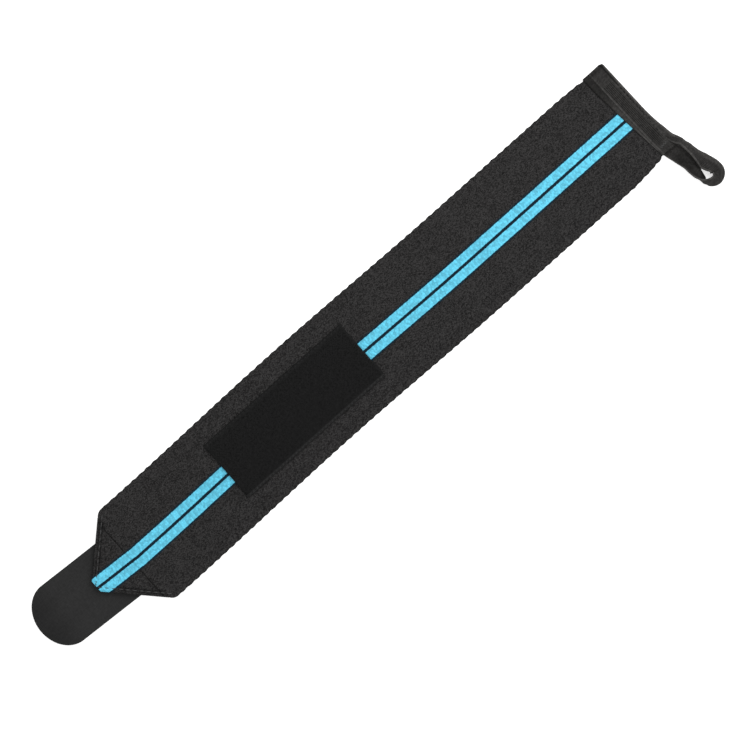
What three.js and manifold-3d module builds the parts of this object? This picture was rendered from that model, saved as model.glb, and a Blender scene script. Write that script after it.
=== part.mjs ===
// Elastic wrist wrap, lying flat: a heavy woven band with two woven-in colour stripes and a pointed
// end, a pile patch on its face, a hook tab under the point, and one elastic tape that binds the
// square end above and below and runs out past the band's edge as a twisted thumb loop.
// Millimetres. +X runs along the band towards the thumb loop, +Z is up, and the origin is on the
// band's underside, at the middle of its length and width.

import * as THREE from "three";
import { mergeVertices } from "three/addons/utils/BufferGeometryUtils.js";
import Module from "manifold-3d";

// Free space between pieces that lie or are sewn on each other
const clearance = 0.3;

// Band, from where its folded edges would meet to its bound end. The point is as wide as the bluntness.
const bandLength = 504;
const bandWidth = 80;
const bandThickness = 2;
const pointAngle = 45;
const pointBluntness = 9;
const pointCornerRadius = 7;
const pointRamp = 46;
const boundRamp = 24;

// How the band lies: a slight bow towards +Y under the patch, and the pointed end and its tab turned
// a little the same way
const bowHeight = 1.9;
const bowLength = 300;
const bowFromPoint = 202;
const endTurn = 3.7;

// Stripes woven into the band's face, beside its middle line
const stripeWidth = 6.8;
const stripeSpacing = 8.3;
const stripeOffset = -1.5;
const stripeDepth = 0.9;
const stripeEndMargin = 1.8;

// Hook-and-pile fastener, both halves cut from tape of one width
const fastenerWidth = 47.5;
const fastenerSelvage = 2;
const patchLength = 126;
const patchFromPoint = 123.8;
const patchOffset = -0.2;
const patchBacking = 0.8;
const patchPile = 1.4;
const pileEdgeRadius = 0.6;
const tabReach = 44.8;
const tabEndDepth = 19.5;
const tabBacking = 1.2;
const tabHooks = 1;

// Tape of the bound end and the thumb loop
const tapeWidth = 12.5;
const tapeThickness = 1.3;
const tapeRibs = 6;
const tapeRibHeight = 0.25;
const tapeOverhang = 0.2;
const loopReach = 33.2;
const eyeWidth = 6.2;

// How the band narrows towards the bound end, where the tape gathers it. fromEnd is a share of the
// band's width, upper and lower are shares of its half width on the +Y and -Y sides.
const gatherSections = [
  { fromEnd: 0.5, upper: 1, lower: 1 },
  { fromEnd: 0.33, upper: 0.988, lower: 0.976 },
  { fromEnd: 0.19, upper: 0.962, lower: 0.94 },
  { fromEnd: 0.135, upper: 0.972, lower: 0.908 },
  { fromEnd: 0, upper: 0.985, lower: 0.885 },
];

// The tape's way over the bound end, round the thumb loop and back under the bound end. over is a
// share of the band's half width towards -Y, out of the loop's reach past the band's edge, across of
// the loop's span towards +X and lifted of the upper run's height. roll turns the tape's outer face
// from up, at 0, to down, at 180.
const tapeStations = [
  { over: -0.99, out: 0, across: 0, roll: 0, lifted: 1 },
  { over: 0, out: 0, across: 0.055, roll: 0, lifted: 1 },
  { over: 0.5, out: 0, across: 0.15, roll: 2, lifted: 1 },
  { over: 0.76, out: 0, across: 0.34, roll: 14, lifted: 1 },
  { over: 0.88, out: 0, across: 0.62, roll: 46, lifted: 0.85 },
  { over: 1, out: 0, across: 0.91, roll: 72, lifted: 0.45 },
  { over: 1, out: 0.18, across: 1.06, roll: 69, lifted: 0.12 },
  { over: 1, out: 0.36, across: 1.11, roll: 62, lifted: 0 },
  { over: 1, out: 0.48, across: 1.11, roll: 48, lifted: 0 },
  { over: 1, out: 0.6, across: 1.15, roll: 36, lifted: 0 },
  { over: 1, out: 0.77, across: 1.33, roll: 40, lifted: 0 },
  { over: 1, out: 0.89, across: 1.29, roll: 45, lifted: 0 },
  { over: 1, out: 0.97, across: 1.07, roll: 52, lifted: 0 },
  { over: 1, out: 0.99, across: 0.8, roll: 62, lifted: 0 },
  { over: 1, out: 0.935, across: 0.58, roll: 77, lifted: 0 },
  { over: 1, out: 0.84, across: 0.43, roll: 90, lifted: 0 },
  { over: 1, out: 0.72, across: 0.34, roll: 102, lifted: 0 },
  { over: 1, out: 0.6, across: 0.34, roll: 120, lifted: 0 },
  { over: 1, out: 0.45, across: 0.47, roll: 145, lifted: 0 },
  { over: 1, out: 0.27, across: 0.5, roll: 164, lifted: 0 },
  { over: 1, out: 0.06, across: 0.4, roll: 175, lifted: 0 },
  { over: 0.92, out: 0, across: 0.29, roll: 180, lifted: 0 },
  { over: 0.7, out: 0, across: 0.18, roll: 180, lifted: 0 },
  { over: 0, out: 0, across: 0.055, roll: 180, lifted: 0 },
  { over: -0.99, out: 0, across: 0, roll: 180, lifted: 0 },
];

// Lengths and heights that follow from the sizes above
const pointX = -bandLength / 2;
const endX = bandLength / 2;
const halfWidth = bandWidth / 2;
const pointSlope = Math.tan(THREE.MathUtils.degToRad(pointAngle));
const bandStartX = pointX + pointBluntness / 2 / pointSlope;
const shoulderX = pointX + halfWidth / pointSlope;
const turnSlope = Math.tan(THREE.MathUtils.degToRad(endTurn));
const tabThickness = tabBacking + tabHooks;
const foldBottom = tabThickness + clearance;
const pointLift = foldBottom + bandThickness;
const boundLift = tapeThickness + clearance;
const upperRunLift = boundLift + bandThickness + clearance;
const tapeMiddleX = endX + tapeOverhang - tapeWidth / 2;
// At the eye of the loop one strand shows nearly its edge and the other most of its face, and the
// two halves that lie between their middle lines come to this share of the tape's width.
const strandShare = 0.51;
const loopSpan = eyeWidth + strandShare * tapeWidth;

const edgeSteps = 6;
const rampSteps = 10;
const cornerSteps = 5;
const bowSteps = 12;
const flapEndStep = 0.8;
const sectionSpacing = 0.5;
const stationSteps = 3;

const wasm = await Module();
wasm.setup();

function solidFrom(geometry) {
  const bare = geometry.clone();
  bare.deleteAttribute("normal");
  bare.deleteAttribute("uv");
  const merged = mergeVertices(bare);
  return new wasm.Manifold(
    new wasm.Mesh({
      numProp: 3,
      vertProperties: merged.attributes.position.array,
      triVerts: new Uint32Array(merged.index.array),
    }),
  );
}

function geometryFrom(solid) {
  const mesh = solid.getMesh();
  const geometry = new THREE.BufferGeometry();
  geometry.setAttribute("position", new THREE.BufferAttribute(mesh.vertProperties, 3));
  geometry.setIndex(new THREE.BufferAttribute(mesh.triVerts, 1));
  const facets = geometry.toNonIndexed();
  facets.computeVertexNormals();
  return facets;
}

// A closed body through sections of equally many points. Each section has its outline, drawn
// anticlockwise, and the place and directions that carry it.
function loft(sections) {
  const count = sections[0].outline.length;
  const positions = [];
  const faces = [];
  for (const { outline, origin, across, up } of sections) {
    for (const point of outline) {
      const place = origin.clone().addScaledVector(across, point.x).addScaledVector(up, point.y);
      positions.push(place.x, place.y, place.z);
    }
  }
  for (let ring = 0; ring < sections.length - 1; ring++) {
    for (let i = 0; i < count; i++) {
      const a = ring * count + i;
      const b = ring * count + ((i + 1) % count);
      faces.push(a, b, b + count, a, b + count, a + count);
    }
  }
  const last = (sections.length - 1) * count;
  for (const [a, b, c] of THREE.ShapeUtils.triangulateShape(sections[0].outline, [])) {
    faces.push(a, c, b);
  }
  for (const [a, b, c] of THREE.ShapeUtils.triangulateShape(sections.at(-1).outline, [])) {
    faces.push(last + a, last + b, last + c);
  }
  const geometry = new THREE.BufferGeometry();
  geometry.setAttribute("position", new THREE.Float32BufferAttribute(positions, 3));
  geometry.setIndex(faces);
  return geometry;
}

// The section of a strip of cloth, flat above and below, with both edges rounded.
function stripOutline(low, high, bottom, top) {
  const rise = (top - bottom) / 2;
  const round = Math.min(rise, 0.45 * (high - low));
  const points = [];
  for (const [centre, start] of [
    [high - round, -Math.PI / 2],
    [low + round, Math.PI / 2],
  ]) {
    for (let step = 0; step <= edgeSteps; step++) {
      const angle = start + (Math.PI * step) / edgeSteps;
      points.push(
        new THREE.Vector2(centre + round * Math.cos(angle), bottom + rise + rise * Math.sin(angle)),
      );
    }
  }
  return points;
}

// Interpolates a table's column smoothly between its rows.
function column(rows, key, name, value) {
  const after = rows.findIndex((row) => row[key] <= value);
  if (after <= 0) return rows.at(after === 0 ? 0 : -1)[name];
  const [a, b] = [rows[after - 1], rows[after]];
  return THREE.MathUtils.lerp(
    b[name],
    a[name],
    THREE.MathUtils.smoothstep(value, b[key], a[key]),
  );
}

// How far the band's middle line lies from y = 0.
function bandDrift(x) {
  const fromBow = (x - pointX - bowFromPoint) / (bowLength / 2);
  const bow = (bowHeight / 2) * (1 + Math.cos(Math.PI * THREE.MathUtils.clamp(fromBow, -1, 1)));
  return bow + Math.max(0, shoulderX - x) * turnSlope;
}

// Height of the underside of the band's upper layer above the surface it lies on.
function bandUnderside(x) {
  const fromPoint = THREE.MathUtils.smoothstep(x, shoulderX, shoulderX + pointRamp);
  const tapeEdge = tapeMiddleX - tapeWidth / 2;
  const fromBoundEnd = THREE.MathUtils.smoothstep(x, tapeEdge - boundRamp, tapeEdge);
  return pointLift * (1 - fromPoint) + boundLift * fromBoundEnd;
}

// The shoulder's arc starts on the folded edge and ends on the band's side.
const shoulderTangent = pointCornerRadius * Math.tan(THREE.MathUtils.degToRad(pointAngle / 2));

// The band's sides at x: straight, rounded into the slanting folded edges at the shoulder, and
// drawn in by the tape at the bound end.
function bandSides(x) {
  const slant = (x - pointX) * pointSlope;
  const pastShoulder = shoulderX + shoulderTangent - x;
  let side = Math.min(halfWidth, slant);
  if (Math.abs(x - shoulderX) < shoulderTangent) {
    const arc = Math.sqrt(pointCornerRadius ** 2 - pastShoulder ** 2);
    side = Math.min(side, halfWidth - pointCornerRadius + arc);
  }
  const fromEnd = (endX - x) / bandWidth;
  return {
    upper: bandDrift(x) + side * column(gatherSections, "fromEnd", "upper", fromEnd),
    lower: bandDrift(x) - side * column(gatherSections, "fromEnd", "lower", fromEnd),
  };
}

function steps(from, to, count) {
  return Array.from({ length: count + 1 }, (_, i) => from + ((to - from) * i) / count);
}

// Where the band's sections stand: close together only where its outline or height changes, and
// none between the flaps' end and the single band behind it.
function bandSectionPlaces() {
  const flapEnd = shoulderX + flapEndStep;
  const wanted = [
    bandStartX,
    ...steps(shoulderX - shoulderTangent, shoulderX, cornerSteps),
    ...steps(flapEnd, shoulderX + shoulderTangent, cornerSteps),
    ...steps(flapEnd, shoulderX + pointRamp, rampSteps),
    ...steps(
      pointX + bowFromPoint - bowLength / 2,
      pointX + bowFromPoint + bowLength / 2,
      bowSteps,
    ),
    ...steps(endX - bandWidth * gatherSections[0].fromEnd, endX, rampSteps * 2),
  ].sort((a, b) => a - b);
  const fixed = [shoulderX, flapEnd, endX];
  const apart = wanted.filter((x) => fixed.every((place) => Math.abs(x - place) > sectionSpacing));
  return [...fixed, ...apart]
    .sort((a, b) => a - b)
    .filter((x, i, all) => i === 0 || fixed.includes(x) || x - all[i - 1] > sectionSpacing);
}

const bandPlaces = bandSectionPlaces();

function crossSection(x, outline) {
  return {
    outline,
    origin: new THREE.Vector3(x, 0, 0),
    across: new THREE.Vector3(0, 1, 0),
    up: new THREE.Vector3(0, 0, 1),
  };
}

// The band with the two corners of its end folded under, so that it is double up to the shoulder.
function foldedBand() {
  const sections = bandPlaces.map((x) => {
    const { upper, lower } = bandSides(x);
    const bottom = x <= shoulderX ? foldBottom : bandUnderside(x);
    return crossSection(x, stripOutline(lower, upper, bottom, bandUnderside(x) + bandThickness));
  });
  return solidFrom(loft(sections));
}

// A strip in the band's face, cut off parallel to the folded edges, the blunt point and the bound end.
function faceStrip(middle, width, depth, above, endMargin) {
  const half = width / 2;
  const strip = loft(
    [pointX, ...bandPlaces].map((x) => {
      const top = bandUnderside(x) + bandThickness;
      const centre = middle + bandDrift(x);
      return crossSection(x, [
        new THREE.Vector2(centre - half, top - depth),
        new THREE.Vector2(centre + half, top - depth),
        new THREE.Vector2(centre + half, top + above),
        new THREE.Vector2(centre - half, top + above),
      ]);
    }),
  );
  const tip = pointX + endMargin * Math.SQRT2;
  const start = bandStartX + endMargin;
  const startHalf = (start - tip) * pointSlope;
  const shoulder = tip + bandWidth / pointSlope;
  const face = new THREE.Shape([
    new THREE.Vector2(start, bandDrift(start) + startHalf),
    new THREE.Vector2(start, bandDrift(start) - startHalf),
    new THREE.Vector2(shoulder, -bandWidth),
    new THREE.Vector2(endX - endMargin, -bandWidth),
    new THREE.Vector2(endX - endMargin, bandWidth),
    new THREE.Vector2(shoulder, bandWidth),
  ]);
  const height = pointLift + bandThickness + 2 * above + 1;
  const block = new THREE.ExtrudeGeometry(face, { depth: height, bevelEnabled: false });
  return solidFrom(strip).intersect(solidFrom(block));
}

const stripeMiddles = {
  upper: stripeOffset + stripeSpacing / 2,
  lower: stripeOffset - stripeSpacing / 2,
};

function stripe(middle) {
  return faceStrip(middle, stripeWidth, stripeDepth, 0, stripeEndMargin);
}

function band() {
  const cuts = Object.values(stripeMiddles).map((middle) =>
    faceStrip(
      middle,
      stripeWidth + 2 * clearance,
      stripeDepth + clearance,
      bandThickness,
      stripeEndMargin - clearance,
    ),
  );
  return cuts.reduce((whole, cut) => whole.subtract(cut), foldedBand());
}

function slab(shape, bottom, height, edgeRadius = 0) {
  const geometry = new THREE.ExtrudeGeometry(shape, {
    depth: height - 2 * edgeRadius,
    bevelEnabled: edgeRadius > 0,
    bevelThickness: edgeRadius,
    bevelSize: edgeRadius,
    bevelOffset: -edgeRadius,
    bevelSegments: 3,
    curveSegments: 16,
  });
  return solidFrom(geometry.translate(0, 0, bottom + edgeRadius));
}

function rectangle(length, width) {
  return new THREE.Shape([
    new THREE.Vector2(-length / 2, -width / 2),
    new THREE.Vector2(length / 2, -width / 2),
    new THREE.Vector2(length / 2, width / 2),
    new THREE.Vector2(-length / 2, width / 2),
  ]);
}

// Backing tape with plain selvages, and the raised pile between them.
function pilePatch() {
  const backing = slab(rectangle(patchLength, fastenerWidth), 0, patchBacking);
  const pile = slab(
    rectangle(patchLength - fastenerSelvage / 2, fastenerWidth - 2 * fastenerSelvage),
    patchBacking / 2,
    patchBacking / 2 + patchPile,
    pileEdgeRadius,
  );
  return backing.add(pile);
}

// The tab from its sewn end, at x = 0, to its rounded free end.
function tabOutline(length, inset) {
  const half = fastenerWidth / 2 - inset;
  const endDepth = tabEndDepth - inset;
  const shape = new THREE.Shape();
  shape.moveTo(-inset, -half);
  shape.lineTo(-inset, half);
  shape.lineTo(-length + tabEndDepth, half);
  shape.absellipse(-length + tabEndDepth, 0, endDepth, half, Math.PI / 2, (Math.PI * 3) / 2, false);
  shape.closePath();
  return shape;
}

// Smooth backing above, and the field of hooks below, inside the tape's selvages.
function hookTab() {
  const length = shoulderX - pointX + tabReach;
  const backing = slab(tabOutline(length, 0), tabHooks, tabBacking);
  const hooks = slab(tabOutline(length, fastenerSelvage), 0, tabHooks + tabBacking / 2);
  return backing.add(hooks);
}

// The tape's section: ribs along its outer face, and rounded edges.
function tapeOutline() {
  const half = tapeWidth / 2;
  const rise = tapeThickness / 2;
  const flat = half - rise;
  const points = [new THREE.Vector2(-flat, -rise), new THREE.Vector2(flat, -rise)];
  points.push(new THREE.Vector2(half, 0));
  for (let i = 0; i <= 2 * tapeRibs; i++) {
    const groove = i % 2 === 0 ? tapeRibHeight : 0;
    points.push(new THREE.Vector2(flat - (i / tapeRibs) * flat, rise - groove));
  }
  points.push(new THREE.Vector2(-half, 0));
  return points;
}

// The middle line of the tape and its roll, one entry for each section.
function tapeLine() {
  const plan = new THREE.CatmullRomCurve3(
    tapeStations.map(
      ({ over, out, across }) =>
        new THREE.Vector3(tapeMiddleX + across * loopSpan, -(over * halfWidth + out * loopReach), 0),
    ),
    false,
    "centripetal",
  );
  const turning = new THREE.CatmullRomCurve3(
    tapeStations.map(({ roll, lifted }) => new THREE.Vector3(roll, lifted, 0)),
    false,
    "catmullrom",
    0.4,
  );
  return steps(0, 1, (tapeStations.length - 1) * stationSteps).map((t) => {
    const place = plan.getPoint(t);
    const { x, y } = turning.getPoint(t);
    const roll = THREE.MathUtils.degToRad(x);
    const resting =
      (tapeWidth * Math.abs(Math.sin(roll)) + tapeThickness * Math.abs(Math.cos(roll))) / 2;
    place.z = resting + THREE.MathUtils.clamp(y, 0, 1) * upperRunLift;
    return { place, roll };
  });
}

function boundTape() {
  const line = tapeLine();
  const outline = tapeOutline();
  const upwards = new THREE.Vector3(0, 0, 1);
  const sections = line.map(({ place, roll }, i) => {
    const before = line[Math.max(i - 1, 0)].place;
    const after = line[Math.min(i + 1, line.length - 1)].place;
    const heading = after.clone().sub(before).normalize();
    const level = upwards.clone().cross(heading).normalize();
    const face = heading.clone().cross(level);
    const across = level.clone().multiplyScalar(Math.cos(roll)).addScaledVector(face, -Math.sin(roll));
    return { outline, origin: place, across, up: heading.clone().cross(across) };
  });
  return solidFrom(loft(sections));
}

const blackElastic = new THREE.MeshStandardMaterial({ color: 0x323030, roughness: 0.95 });
const blueYarn = new THREE.MeshStandardMaterial({ color: 0x66d0ee, roughness: 0.9 });
const blackPile = new THREE.MeshStandardMaterial({ color: 0x1e1e1e, roughness: 1 });
const blackHookTape = new THREE.MeshStandardMaterial({ color: 0x2d2d2d, roughness: 0.7 });
const blackTape = new THREE.MeshStandardMaterial({ color: 0x353433, roughness: 0.85 });

function piece(name, solid, material) {
  const mesh = new THREE.Mesh(geometryFrom(solid), material);
  mesh.name = name;
  return mesh;
}

const wristWrap = new THREE.Group();

wristWrap.add(piece("elastic_band", band(), blackElastic));
wristWrap.add(piece("stripe_upper", stripe(stripeMiddles.upper), blueYarn));
wristWrap.add(piece("stripe_lower", stripe(stripeMiddles.lower), blueYarn));

const patch = piece("pile_patch", pilePatch(), blackPile);
const patchX = pointX + patchFromPoint + patchLength / 2;
patch.position.set(patchX, bandDrift(patchX) + patchOffset, bandThickness + clearance);
wristWrap.add(patch);

const tab = piece("hook_tab", hookTab(), blackHookTape);
tab.position.set(shoulderX, 0, 0);
tab.rotation.z = THREE.MathUtils.degToRad(-endTurn);
wristWrap.add(tab);

wristWrap.add(piece("bound_tape", boundTape(), blackTape));

export default wristWrap;
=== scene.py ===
"""Wrist wrap lying flat: a woven elastic band with two colour stripes and a pointed end, a pile patch, a
hook tab, a bound end whose tape runs out as a thumb loop, and the stitching that holds them together.
Metres, in the CAD model's frame: +X along the band towards the thumb loop, +Z up."""

import math

import bpy
import numpy as np
from mathutils import Matrix, Vector


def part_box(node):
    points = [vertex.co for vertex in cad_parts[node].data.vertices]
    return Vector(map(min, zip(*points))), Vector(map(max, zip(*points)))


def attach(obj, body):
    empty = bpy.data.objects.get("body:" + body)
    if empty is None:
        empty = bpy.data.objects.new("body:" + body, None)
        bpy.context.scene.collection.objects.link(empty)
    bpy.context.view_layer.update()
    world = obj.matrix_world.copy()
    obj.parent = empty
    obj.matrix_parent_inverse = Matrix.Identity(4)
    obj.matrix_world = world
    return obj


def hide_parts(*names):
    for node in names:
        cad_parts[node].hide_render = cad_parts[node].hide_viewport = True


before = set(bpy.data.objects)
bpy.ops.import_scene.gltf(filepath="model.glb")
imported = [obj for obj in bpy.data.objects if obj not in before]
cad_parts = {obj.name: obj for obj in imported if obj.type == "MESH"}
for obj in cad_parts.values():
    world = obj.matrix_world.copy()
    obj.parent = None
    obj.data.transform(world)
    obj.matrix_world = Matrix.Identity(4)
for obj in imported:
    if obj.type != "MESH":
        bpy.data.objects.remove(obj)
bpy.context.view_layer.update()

bl_info = {
    "name": "Wrist wrap",
    "version": (1, 0, 0),
    "blender": (4, 5, 0),
    "location": "3D View > Sidebar > Wrist wrap",
    "description": "Makes an elastic wrist wrap with a hook-and-pile fastener and a thumb loop",
    "category": "Object",
}

MM = 0.001

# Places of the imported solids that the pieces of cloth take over
BAND_LOW, BAND_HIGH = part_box("elastic_band")
PATCH_LOW, PATCH_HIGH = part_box("pile_patch")
TAPE_LOW, TAPE_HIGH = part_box("bound_tape")

# The band's shape, the same real sizes as in the part's source
END_X = BAND_HIGH[0]
POINT_X = END_X - 504 * MM
BAND_START_X = BAND_LOW[0]
POINT_CORNER_RADIUS = 7 * MM
POINT_RAMP = 46 * MM
BOUND_RAMP = 24 * MM
FOLD_BOTTOM = BAND_LOW[2] + 2.5 * MM
BOW_HEIGHT = 1.9 * MM
BOW_LENGTH = 300 * MM
BOW_MIDDLE = POINT_X + 202 * MM
END_TURN = math.radians(3.7)
GATHER_FROM_END = (0, 0.135, 0.19, 0.33, 0.5)
GATHER_UPPER = (0.985, 0.972, 0.962, 0.988, 1)
GATHER_LOWER = (0.885, 0.908, 0.94, 0.976, 1)

# The tape's way over the bound end to the bar tack, and then from its pleat under that end round the
# thumb loop and back under the bound end: shares of the band's half width, the loop's reach, the
# loop's span and the upper run's height, roll in degrees, and the share of the tape's width that the
# pleat leaves open
BINDING_WAY = (
    (-0.99, 0, 0, 0, 1, 1),
    (0, 0, 0.055, 0, 1, 1),
    (0.5, 0, 0.09, 0, 1, 1),
    (0.7, 0, 0.11, 0, 1, 1),
    (0.83, 0, 0.14, 2, 1, 1),
    (0.91, 0, 0.17, 3, 0.9, 1),
)
LOOP_WAY = (
    (0.5, 0, 0.5, 4, 0.86, 0.4),
    (0.75, 0, 0.61, 16, 0.84, 0.46),
    (0.87, 0, 0.76, 42, 0.74, 0.6),
    (0.94, 0, 0.86, 60, 0.58, 0.76),
    (1, 0, 0.89, 64, 0.42, 0.9),
    (1, 0.1, 0.95, 62, 0.2, 1),
    (1, 0.22, 0.99, 60, 0.05, 1),
    (1, 0.33, 1.02, 54, 0, 1),
    (1, 0.45, 1.06, 42, 0, 1),
    (1, 0.55, 1.1, 27, 0, 1),
    (1, 0.66, 1.21, 29, 0, 1),
    (1, 0.77, 1.31, 36, 0, 1),
    (1, 0.88, 1.27, 30, 0, 1),
    (1, 0.96, 1.03, 37, 0, 1),
    (1, 0.945, 0.72, 54, 0, 1),
    (1, 0.885, 0.54, 76, 0, 1),
    (1, 0.83, 0.49, 100, 0, 1),
    (1, 0.75, 0.41, 114, 0, 1),
    (1, 0.65, 0.36, 126, 0, 1),
    (1, 0.54, 0.375, 138, 0, 1),
    (1, 0.33, 0.43, 158, 0, 1),
    (1, 0.1, 0.32, 171, 0, 1),
    (0.88, 0, 0.17, 179, 0, 1),
    (0.7, 0, 0.11, 180, 0, 1),
    (0, 0, 0.055, 180, 0, 1),
    (-0.99, 0, 0, 180, 0, 1),
)
LOOP_REACH = 33.2 * MM
LOOP_SPAN = 12.575 * MM

# The photograph is square, and looks straight down on the wrap
PHOTO_WIDTH = 502.6 * MM
PHOTO_MIDDLE = (-7.85 * MM, -7.2 * MM)
PHOTO_TURN = math.radians(-41.77)


def from_hex(text):
    """The linear colour of an sRGB hex value, with full opacity."""
    values = [int(text[i:i + 2], 16) / 255 for i in (0, 2, 4)]
    return (*[v / 12.92 if v <= 0.04045 else ((v + 0.055) / 1.055) ** 2.4 for v in values], 1)


def length_property(name, description, millimetres):
    return bpy.props.FloatProperty(
        name=name,
        description=description,
        default=millimetres * MM,
        min=0,
        precision=5,
        unit="LENGTH",
        subtype="DISTANCE",
    )


def colour_property(name, description, hex_value):
    return bpy.props.FloatVectorProperty(
        name=name,
        description=description,
        default=from_hex(hex_value),
        size=4,
        min=0,
        max=1,
        subtype="COLOR",
    )


class BandSettings(bpy.types.PropertyGroup):
    """Sizes of the woven band and its stripes"""

    width: length_property("Width", "Width of the band between its woven edges", 80)
    thickness: length_property("Thickness", "Thickness of one layer of the elastic", 2)
    weave: length_property("Weave", "Distance between the high spots of the weave's relief", 0.8)
    relief: length_property("Relief", "How far the high spots of the weave stand up", 0.07)
    scallop: length_property("Scallop", "How far the woven edge swings in and out", 0.25)
    stripe_width: length_property("Stripe width", "Width of each stripe", 6.7)
    stripe_spacing: length_property("Stripe spacing", "Between the middle lines of the stripes", 8.3)
    stripe_relief: length_property("Stripe relief", "How far a stripe's yarns stand proud", 0.14)
    gap_fill: length_property("Gap fill", "How far a stripe's light yarns reach into the gap", 0.15)
    outline_width: length_property("Outline width", "Dark yarn outside each edge of a stripe", 0.75)


class FastenerSettings(bpy.types.PropertyGroup):
    """Sizes of the pile patch and the hook tab"""

    width: length_property("Width", "Width of both fastener tapes", 47.5)
    selvage: length_property("Selvage", "Plain woven edge of both fastener tapes", 2.2)
    patch_length: length_property("Patch length", "Length of the pile patch", 126)
    patch_backing: length_property("Patch backing", "Thickness of the patch's woven backing", 0.8)
    loop_pitch: length_property("Loop pitch", "Distance between the loops of the pile", 1.1)
    loop_height: length_property("Loop height", "Height of the pile's loops over their ground", 0.75)
    loop_yarn: length_property("Loop yarn", "Thickness of the pile's yarn", 0.42)
    tab_reach: length_property("Tab reach", "How far the hook tab stands out of the point", 44.8)
    tab_end_depth: length_property("Tab end", "Depth of the tab's rounded end", 19.5)
    tab_backing: length_property("Tab backing", "Thickness of the tab's woven backing", 1.2)
    hook_pitch: length_property("Hook pitch", "Distance between the hooks", 1.6)
    hook_height: length_property("Hook height", "Height of the hooks under the tab", 0.95)
    hook_yarn: length_property("Hook yarn", "Thickness of one hook", 0.24)


class TapeSettings(bpy.types.PropertyGroup):
    """Sizes of the ribbed tape of the bound end and the thumb loop"""

    width: length_property("Width", "Width of the elastic tape", 12.5)
    thickness: length_property("Thickness", "Thickness of the elastic tape", 1.3)
    rib_pitch: length_property("Rib pitch", "Distance between the tape's lengthwise ribs", 1.15)
    rib_height: length_property("Rib height", "Depth of the grooves between the ribs", 0.35)
    section_spacing: length_property("Section spacing", "Length of tape between sections", 0.9)


class StitchSettings(bpy.types.PropertyGroup):
    """Sizes of the sewing"""

    thread: length_property("Thread", "Thickness of the sewing thread", 0.45)
    point_pitch: length_property("Point pitch", "Stitch length along the folded edges", 4.6)
    seam_pitch: length_property("Seam pitch", "Stitch length of the cross seam and the patch", 3)
    tape_pitch: length_property("Tape pitch", "Stitch length along the bound end", 3.3)
    tack_pitch: length_property("Tack pitch", "Distance between the bar tack's threads", 0.75)
    seed: bpy.props.IntProperty(
        name="Seed",
        description="Start of the small random differences between stitches, loops and hooks",
        default=4,
        min=0,
    )


class ClothColours(bpy.types.PropertyGroup):
    """Colours of the cloths and threads"""

    elastic: colour_property("Elastic", "Black covered rubber of the band", "363535")
    stripe: colour_property("Stripe", "Light blue yarn of the stripes", "67D0EE")
    outline: colour_property("Outline", "Deep blue between the stripe's yarns and the black ones", "06202E")
    pile: colour_property("Pile", "Black nylon of the pile", "222222")
    hook_tape: colour_property("Hook tape", "Black woven back of the hook tape", "2D2D2D")
    tape: colour_property("Tape", "Black elastic tape of the bound end", "3A3938")
    # One black polyester thread in two copies: the grey one holds painted sheen, the near black one painted
    # shade where stitches sink into the cloth
    thread: colour_property("Thread", "Black polyester sewing thread, worn grey", "4A4A4A")
    shaded_thread: colour_property("Dark thread", "Black polyester sewing thread, sunk in", "1B1B1B")


def smooth(value, low, high):
    share = np.clip((value - low) / (high - low), 0, 1)
    return share * share * (3 - 2 * share)


def smooth_column(value, places, heights):
    """Smoothly from each height to the next one, at rising places."""
    value = np.asarray(value, float)
    result = np.full(value.shape, float(heights[0]))
    for i in range(len(places) - 1):
        step = heights[i + 1] - heights[i]
        result += step * smooth(value, places[i], places[i + 1])
    return result


def shoulder_x(band):
    return POINT_X + band.width / 2


def tape_middle_x(tape):
    return END_X + 0.2 * MM - tape.width / 2


def fold_height(band):
    """Height of the upper layer's underside over the folded corners."""
    return FOLD_BOTTOM + band.thickness


def band_drift(band, x):
    """How far the band's middle line lies from y = 0."""
    from_bow = np.clip((x - BOW_MIDDLE) / (BOW_LENGTH / 2), -1, 1)
    turn = np.maximum(0, shoulder_x(band) - x) * math.tan(END_TURN)
    return BOW_HEIGHT / 2 * (1 + np.cos(math.pi * from_bow)) + turn


def band_underside(band, tape, x):
    """Height of the underside of the band's upper layer."""
    shoulder = shoulder_x(band)
    tape_edge = tape_middle_x(tape) - tape.width / 2
    from_point = 1 - smooth(x, shoulder, shoulder + POINT_RAMP)
    bound_lift = tape.thickness + 0.3 * MM
    return fold_height(band) * from_point + bound_lift * smooth(x, tape_edge - BOUND_RAMP, tape_edge)


def band_sides(band, x):
    """The band's sides: straight, rounded at the shoulder, slanting to the point and gathered at the
    bound end."""
    half = band.width / 2
    shoulder = shoulder_x(band)
    reach = POINT_CORNER_RADIUS * math.tan(math.radians(22.5))
    side = np.minimum(half, x - POINT_X)
    past = np.clip(shoulder + reach - x, -POINT_CORNER_RADIUS, POINT_CORNER_RADIUS)
    arc = half - POINT_CORNER_RADIUS + np.sqrt(POINT_CORNER_RADIUS**2 - past**2)
    side = np.where(np.abs(x - shoulder) < reach, np.minimum(side, arc), side)
    from_end = (END_X - x) / band.width
    drift = band_drift(band, x)
    upper = drift + side * smooth_column(from_end, GATHER_FROM_END, GATHER_UPPER)
    lower = drift - side * smooth_column(from_end, GATHER_FROM_END, GATHER_LOWER)
    return upper, lower


def edge_swell(from_edge, radius):
    """From 0 on a rounded edge to 1 at its radius and further in."""
    share = np.clip(from_edge / np.maximum(radius, 1e-9), 0, 1)
    return np.sqrt(np.maximum(0, 1 - (1 - share) ** 2))


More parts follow.
